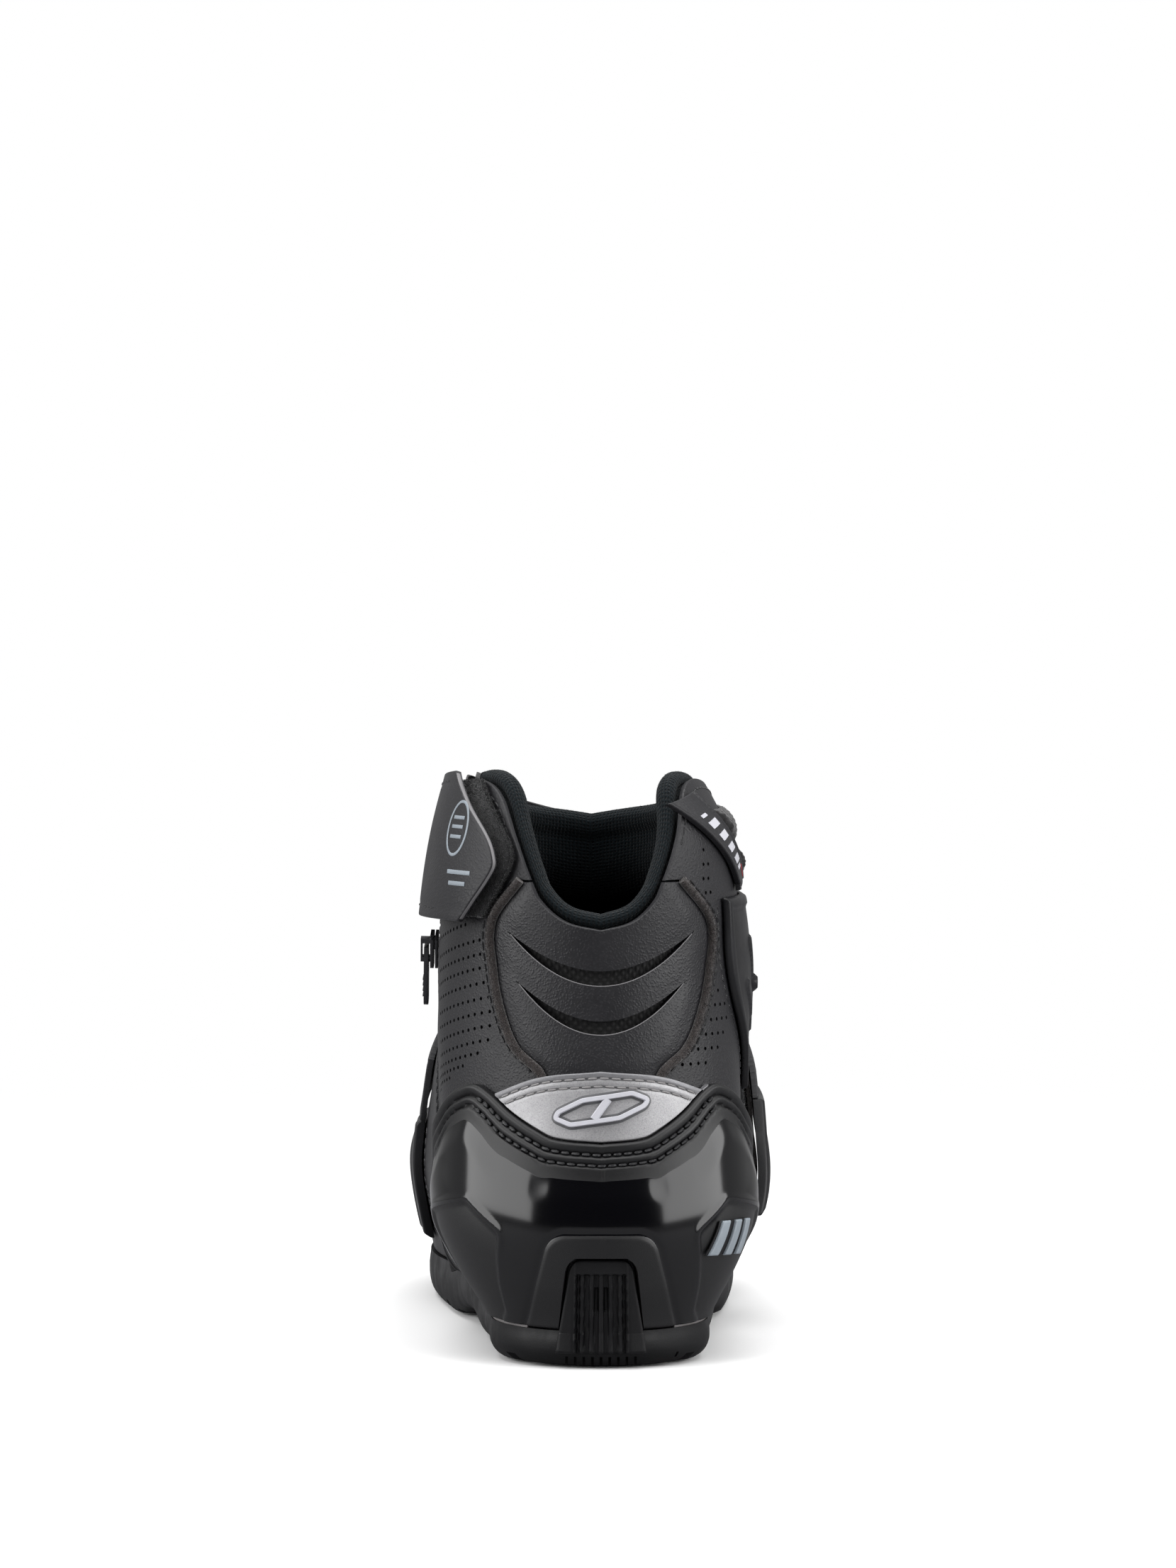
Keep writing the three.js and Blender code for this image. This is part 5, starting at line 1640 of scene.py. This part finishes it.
def loop_pad(strap, region, step, count, seed, more=()):
    pad = panel(f"{strap}_loops", region, GUARD_INNER, PILE_OUTER - 0.2, step, 0.7)
    keep(pad, "loop", nodes=[f"{strap}_loop_pad"])
    pile = region_hairs(region, PILE_OUTER - 0.25, count, PILE_TALL, PILE_WIDTH, seed)
    bits(f"{strap}_loop_fuzz", [pile, *more], "loop")


def hook_rows(region, depth):
    """Small moulded hooks in rows on the pad's inner face."""
    width, tall = spans(region)
    u, v = np.meshgrid(np.linspace(0.03, 0.97, int(width / 1.5)), np.linspace(0.04, 0.96, int(tall / 1.5)))
    turn, height = region(u.ravel(), v.ravel())
    normals = outward(turn, height)
    return scatter(capsule(0.6, 0.22), place(turn, height, depth - 0.15), normals,
                   np.tile([0, 0.2, 1.0], (turn.size, 1)))


INSTEP = {"start": 128, "end": 37, "root": 242, "tip": 33}


def instep_line(across):
    half = INSTEP_WIDTH / 2 * math.hypot(1, INSTEP_SLOPE)
    return INSTEP["start"] - INSTEP_SLOPE * INSTEP["end"] + across * half


def on_outer(height):
    def turn(across):
        level = np.full(np.shape(across), float(height))
        return turn_at_reach(instep_line(across) + INSTEP_SLOPE * level, level, 1)
    return turn


def instep_region(start, end, narrow=0.0):
    def region(u, v):
        across = (1 - 2 * v) * (1 - narrow)
        turn = lerp(start(across), end(across), u)
        return turn, height_at_line(turn, instep_line(across), INSTEP_SLOPE)
    return region


def make_instep_strap():
    arm = "instep_strap_arm"
    tip_start = INSTEP["end"] + INSTEP["tip"]

    def rise(u, v):
        return lerp(STRAP_INNER, LEATHER + GAP, smoothstep(u, 0.86, 1))
    region = instep_region(on_outer(tip_start + 0.5), fixed(INSTEP["root"]))
    obj = panel("instep_band", region, rise, lambda u, v: rise(u, v) + STRAP_THICK, 1.3, 0.6,
                extra=strap_relief)
    keep(obj, "strap", arm, ["instep_strap"])
    rows = []
    share = np.linspace(0.04, 0.9, 240)
    for v in (3.2 / INSTEP_WIDTH, 1 - 3.2 / INSTEP_WIDTH):
        turn, height = region(share, np.full(share.shape, v))
        rows.append(stitches(turn, height, rise(share, 0) + STRAP_THICK - 0.1))
    bits("instep_stitches", rows, "thread", arm)
    tip = instep_region(on_outer(INSTEP["end"]), on_outer(tip_start))

    def tip_relief(turn, height, u, v):
        edge = np.minimum(np.minimum(u, 1 - u) * INSTEP["tip"], np.minimum(v, 1 - v) * INSTEP_WIDTH)
        grip = smoothstep(np.abs((u * 8) % 1 - 0.5), 0.32, 0.18) * smoothstep(edge, 4, 5)
        return 0.5 * smoothstep(edge, 0.5, 1.5) * (1 - smoothstep(edge, 2.6, 3.4)) - 0.6 * grip, {}
    grip_outer = STRAP_INNER + STRAP_THICK + 1.2
    obj = panel("instep_grip", tip, STRAP_INNER, grip_outer, 0.5, 1.0, extra=tip_relief)
    keep(obj, "guard", arm, ["instep_strap_tip"])
    hooks = instep_region(on_outer(INSTEP["end"] + 2), on_outer(tip_start + 18), 0.14)
    hook_pad("instep", hooks, 1.5, arm)
    pile = instep_region(on_outer(INSTEP["end"] - 2), on_outer(tip_start + 14), 0.04)
    loop_pad("instep", pile, 1.5, 7000, 31)
    anchor = instep_region(fixed(INSTEP["root"] + 1), fixed(INSTEP["root"] + 13))
    obj = panel("instep_root", anchor, GUARD_INNER, GUARD_INNER + STRAP_THICK, 0.9, 0.6, extra=strap_relief)
    keep(obj, "strap", nodes=["instep_strap_anchor"])


# ---- Zip ----
ZIP_START = 0.61
ZIP_END = 0.1
SLIDER = {"length": 11, "width": 8, "thick": 2.6, "lift": COIL_THICK + 0.9, "bridge": 3.2}
PULL = {"length": 20, "width": 6, "thick": 1.4, "lift": 3.0}


def zip_line(share, depth):
    reach, height = zip_place(np.asarray(share, float), 0)
    turn = turn_at_reach(reach, height, -1)
    return place(turn, height, depth), outward(turn, height)


def slider_frame():
    origin, out = zip_line(ZIP_START, SLIDER["lift"])
    end = zip_line(ZIP_END, SLIDER["lift"])[0]
    down = unit(end - origin)
    across = unit(np.cross(down, out))
    return np.stack([across, down, np.cross(across, down)], 1), origin


def hardware(name, parts, body, nodes, cuts=(), bevel=0.3):
    """A small cast piece drawn in the slider's own axes, its edges rounded."""
    obj = outside(new_object(name, *parts[0]))
    for part in parts[1:]:
        boolean(obj, [part], "UNION")
    if cuts:
        boolean(obj, cuts)
    rounding = obj.modifiers.new("bevel", "BEVEL")
    rounding.width = bevel * MM
    rounding.segments = 3
    rounding.limit_method = "ANGLE"
    obj.modifiers.new("triangles", "TRIANGULATE")
    apply_modifiers(obj)
    basis, origin = slider_frame()
    vertices = obj.data.vertices
    flat = np.empty(len(vertices) * 3)
    vertices.foreach_get("co", flat)
    moved = flat.reshape(-1, 3) @ basis.T + origin * MM
    vertices.foreach_set("co", moved.ravel())
    outside(obj)
    return keep(obj, "metal", body, nodes, 35)


def make_zip():
    tape = panel("zip_cloth", zip_region(ZIP_TAPE_WIDTH), -LAYER_GAP - ZIP_TAPE_THICK, -LAYER_GAP, 0.7, 0.2)
    keep(tape, "tape", nodes=["zip_tape"])
    share = np.linspace(0.03, 0.97, int(150 / 0.95))
    line, normals = zip_line(share, COIL_THICK * 0.45)
    across = unit(np.cross(np.gradient(line, axis=0), normals))
    side = np.where(np.arange(len(share)) % 2, 1.0, -1.0)[:, None]
    teeth = scatter(capsule(COIL_WIDTH * 0.62, 0.5, 8), line + across * side * 0.75, across, normals)
    beside = across * (COIL_WIDTH / 2 - 0.3)
    cords = [sweep(line + side * beside, normals, oval(0.55, 0.5, 8)) for side in (1, -1)]
    bits("zip_teeth", [teeth] + cords, "coil", nodes=["zip_coil"])
    for name, low, high, node in (("zip_end_low", 0.006, 0.025, "zip_stop_lower"),
                                  ("zip_end_high", 0.975, 0.99, "zip_stop_upper")):
        stop = panel(name, zip_region(COIL_WIDTH + 2, low, high), 0, COIL_THICK + 0.8, 0.4, 0.5)
        keep(stop, "metal", nodes=[node])
    half, length, thick, tall = SLIDER["width"] / 2, SLIDER["length"] / 2, SLIDER["thick"], SLIDER["bridge"]
    plate = [(-half, -length * 0.8), (-half * 0.7, -length), (half * 0.7, -length), (half, -length * 0.8),
             (half * 0.6, length), (-half * 0.6, length)]
    body = [prism(plate, 1.3, thick - 0.15), prism(plate, 0, 0.9), bar(1.8, 4, 1.6, [0, -2.2, 1.1]),
            bar(2.4, length * 1.4, tall, [0, 0, thick + tall / 2 - 0.3])]
    eye = bar(4, length * 0.8, tall - 0.75, [0, 0, thick + tall / 2 - 0.475])
    hardware("zip_slider_body", body, "slider", ["zip_slider"], [eye], 0.25)
    wide = PULL["width"] / 2
    angle = np.linspace(0, math.pi, 9)
    end = [(wide * math.cos(a), PULL["length"] - 3 + wide * 0.8 * math.sin(a)) for a in angle]
    tab = [(-2.2, -0.2), (2.2, -0.2), (wide, 6.0)] + end + [(-wide, 6.0)]
    tab = [(x, y - 1) for x, y in tab]
    low = PULL["lift"]
    top = low + PULL["thick"]
    ridges = [bar(wide * 1.3, 0.6, 0.5, [0, y, top + 0.1]) for y in (9.5, 11.3, 13.1, 14.9)]
    window = bar(3, SLIDER["length"] * 0.62, 8, [0, SLIDER["length"] * 0.36, low])
    hardware("zip_pull_tab", [prism(tab, low, top)] + ridges, "pull", ["zip_pull"], [window], 0.28)


# ---- Pieces inside ----
FOOTBED = {"inset": LINING + GAP + 2.2, "lift": 3.1, "thick": 5}
# Share of the way out to the footbed's edge, and share of its thickness down from its top
FOOTBED_SECTION = ((0, 1), (0.5, 1), (0.96, 1), (1, 0.8), (1, 0.25), (0.985, 0.0), (0.9, -0.1),
                   (0.5, -0.05), (0, 0))


def make_inside():
    turn = np.linspace(-180, 180, 240, endpoint=False)
    edge = outline(turn, -FOOTBED["inset"], 0)
    rows = []
    for share, drop in FOOTBED_SECTION:
        row = lerp(centre_line(turn), edge, share)
        row[:, 2] = sole_edge(row[:, 1]) + FOOTBED["lift"] + FOOTBED["thick"] * (1 - drop)
        rows.append(row)
    bed = keep(shade(capped("footbed_foam", rows)), "foam", nodes=["footbed"])
    for name, look in (("insole_board", "board"), ("shank", "steel"), ("heel_stiffener", "board"),
                       ("toe_puff", "board")):
        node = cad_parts[name]
        node.data.materials.clear()
        node.data.materials.append(looks[look])


# ---- Camera, light and stage ----
CAMERA_PLACE = (-0.00394, -1.995, 0.250)
CAMERA_DOWN = 2.15  # degrees below level
CAMERA_LENS = 150


def make_camera():
    data = bpy.data.cameras.new("camera")
    data.lens = CAMERA_LENS
    data.sensor_width = 36
    data.clip_end = 100
    camera = bpy.data.objects.new("camera", data)
    bpy.context.scene.collection.objects.link(camera)
    camera.location = CAMERA_PLACE
    camera.rotation_euler = (math.radians(90 - CAMERA_DOWN), 0, 0)
    bpy.context.scene.camera = camera


def area_light(name, location, target, size, watts):
    data = bpy.data.lights.new(name, "AREA")
    data.shape = "RECTANGLE"
    data.size, data.size_y = size
    data.energy = watts
    lamp = bpy.data.objects.new(name, data)
    bpy.context.scene.collection.objects.link(lamp)
    lamp.location = location
    lamp.rotation_euler = (Vector(target) - Vector(location)).to_track_quat("-Z", "Y").to_euler()


FLOOR_BOUNCE = (0.24, 0.24, 0.25)
# Strength of the world's light, from behind the camera to ahead of it
WORLD_LIGHT = {"From Min": -0.65, "From Max": 0.15, "To Min": 0.015, "To Max": 0.5}
FLOOR_HALF = 20000
FLOOR_DROP = 0.4
# Name, place, target, size and power of each light
LIGHTS = (
    ("top", (0.0, -0.2, 1.7), (0, 0.05, 0), (2.2, 2.2), 50),
    ("left", (-1.45, -0.55, 0.62), (0, 0.02, 0.08), (1.7, 1.1), 27),
    ("right", (1.45, -0.55, 0.62), (0, 0.02, 0.08), (1.7, 1.1), 27),
)


def make_stage():
    square = ((-1, -1), (1, -1), (1, 1), (-1, 1))
    corners = [[x * FLOOR_HALF, y * FLOOR_HALF, -FLOOR_DROP] for x, y in square]
    floor = new_object("floor", corners, [[0, 1, 2, 3]])
    look = Look("floor", (0.94, 0.94, 0.94), 0.75)
    look.bump(look.noise(60, 2), 0.02)
    seen = look.node("ShaderNodeLightPath").outputs["Is Camera Ray"]
    look.tint(look.ramp(seen, 1, 0), FLOOR_BOUNCE)
    far = look.node("ShaderNodeVectorMath", {"operation": "LENGTH"}, _0=look.place()).outputs["Value"]
    glow = look.node("ShaderNodeEmission", Color=(1, 1, 1, 1), Strength=look.ramp(seen, 0, 1, 0.3, 1.0))
    fade = look.node("ShaderNodeMixShader", _0=look.ramp(far, 0.3, 1.0), _1=look.shader.outputs[0],
                     _2=glow.outputs[0])
    output = look.tree.nodes["Material Output"]
    look.tree.links.new(fade.outputs[0], output.inputs["Surface"])
    floor.data.materials.append(look.material)
    world = bpy.data.worlds.new("studio")
    world.use_nodes = True
    bpy.context.scene.world = world
    tree = world.node_tree
    links = tree.links
    seen = tree.nodes["Background"]
    seen.inputs["Color"].default_value = (1, 1, 1, 1)
    seen.inputs["Strength"].default_value = 1.0
    lit = tree.nodes.new("ShaderNodeBackground")
    at = tree.nodes.new("ShaderNodeTexCoord")
    split = tree.nodes.new("ShaderNodeSeparateXYZ")
    links.new(at.outputs["Generated"], split.inputs[0])
    fade = tree.nodes.new("ShaderNodeMapRange")
    fade.interpolation_type = "SMOOTHSTEP"
    for key, number in WORLD_LIGHT.items():
        fade.inputs[key].default_value = number
    links.new(split.outputs["Y"], fade.inputs["Value"])
    links.new(fade.outputs[0], lit.inputs["Strength"])
    path = tree.nodes.new("ShaderNodeLightPath")
    mix = tree.nodes.new("ShaderNodeMixShader")
    links.new(path.outputs["Is Camera Ray"], mix.inputs[0])
    links.new(lit.outputs[0], mix.inputs[1])
    links.new(seen.outputs[0], mix.inputs[2])
    links.new(mix.outputs[0], tree.nodes["World Output"].inputs["Surface"])
    for light in LIGHTS:
        area_light(*light)
    bpy.context.scene.view_settings.view_transform = "Standard"


make_camera()
make_stage()
make_sole()
make_counter()
make_badge()
make_counter_mark()
make_achilles()
make_upper()
make_collar()
make_lining()
make_outer_side()
make_toe()
make_cuff_strap()
make_instep_strap()
make_zip()
make_inside()
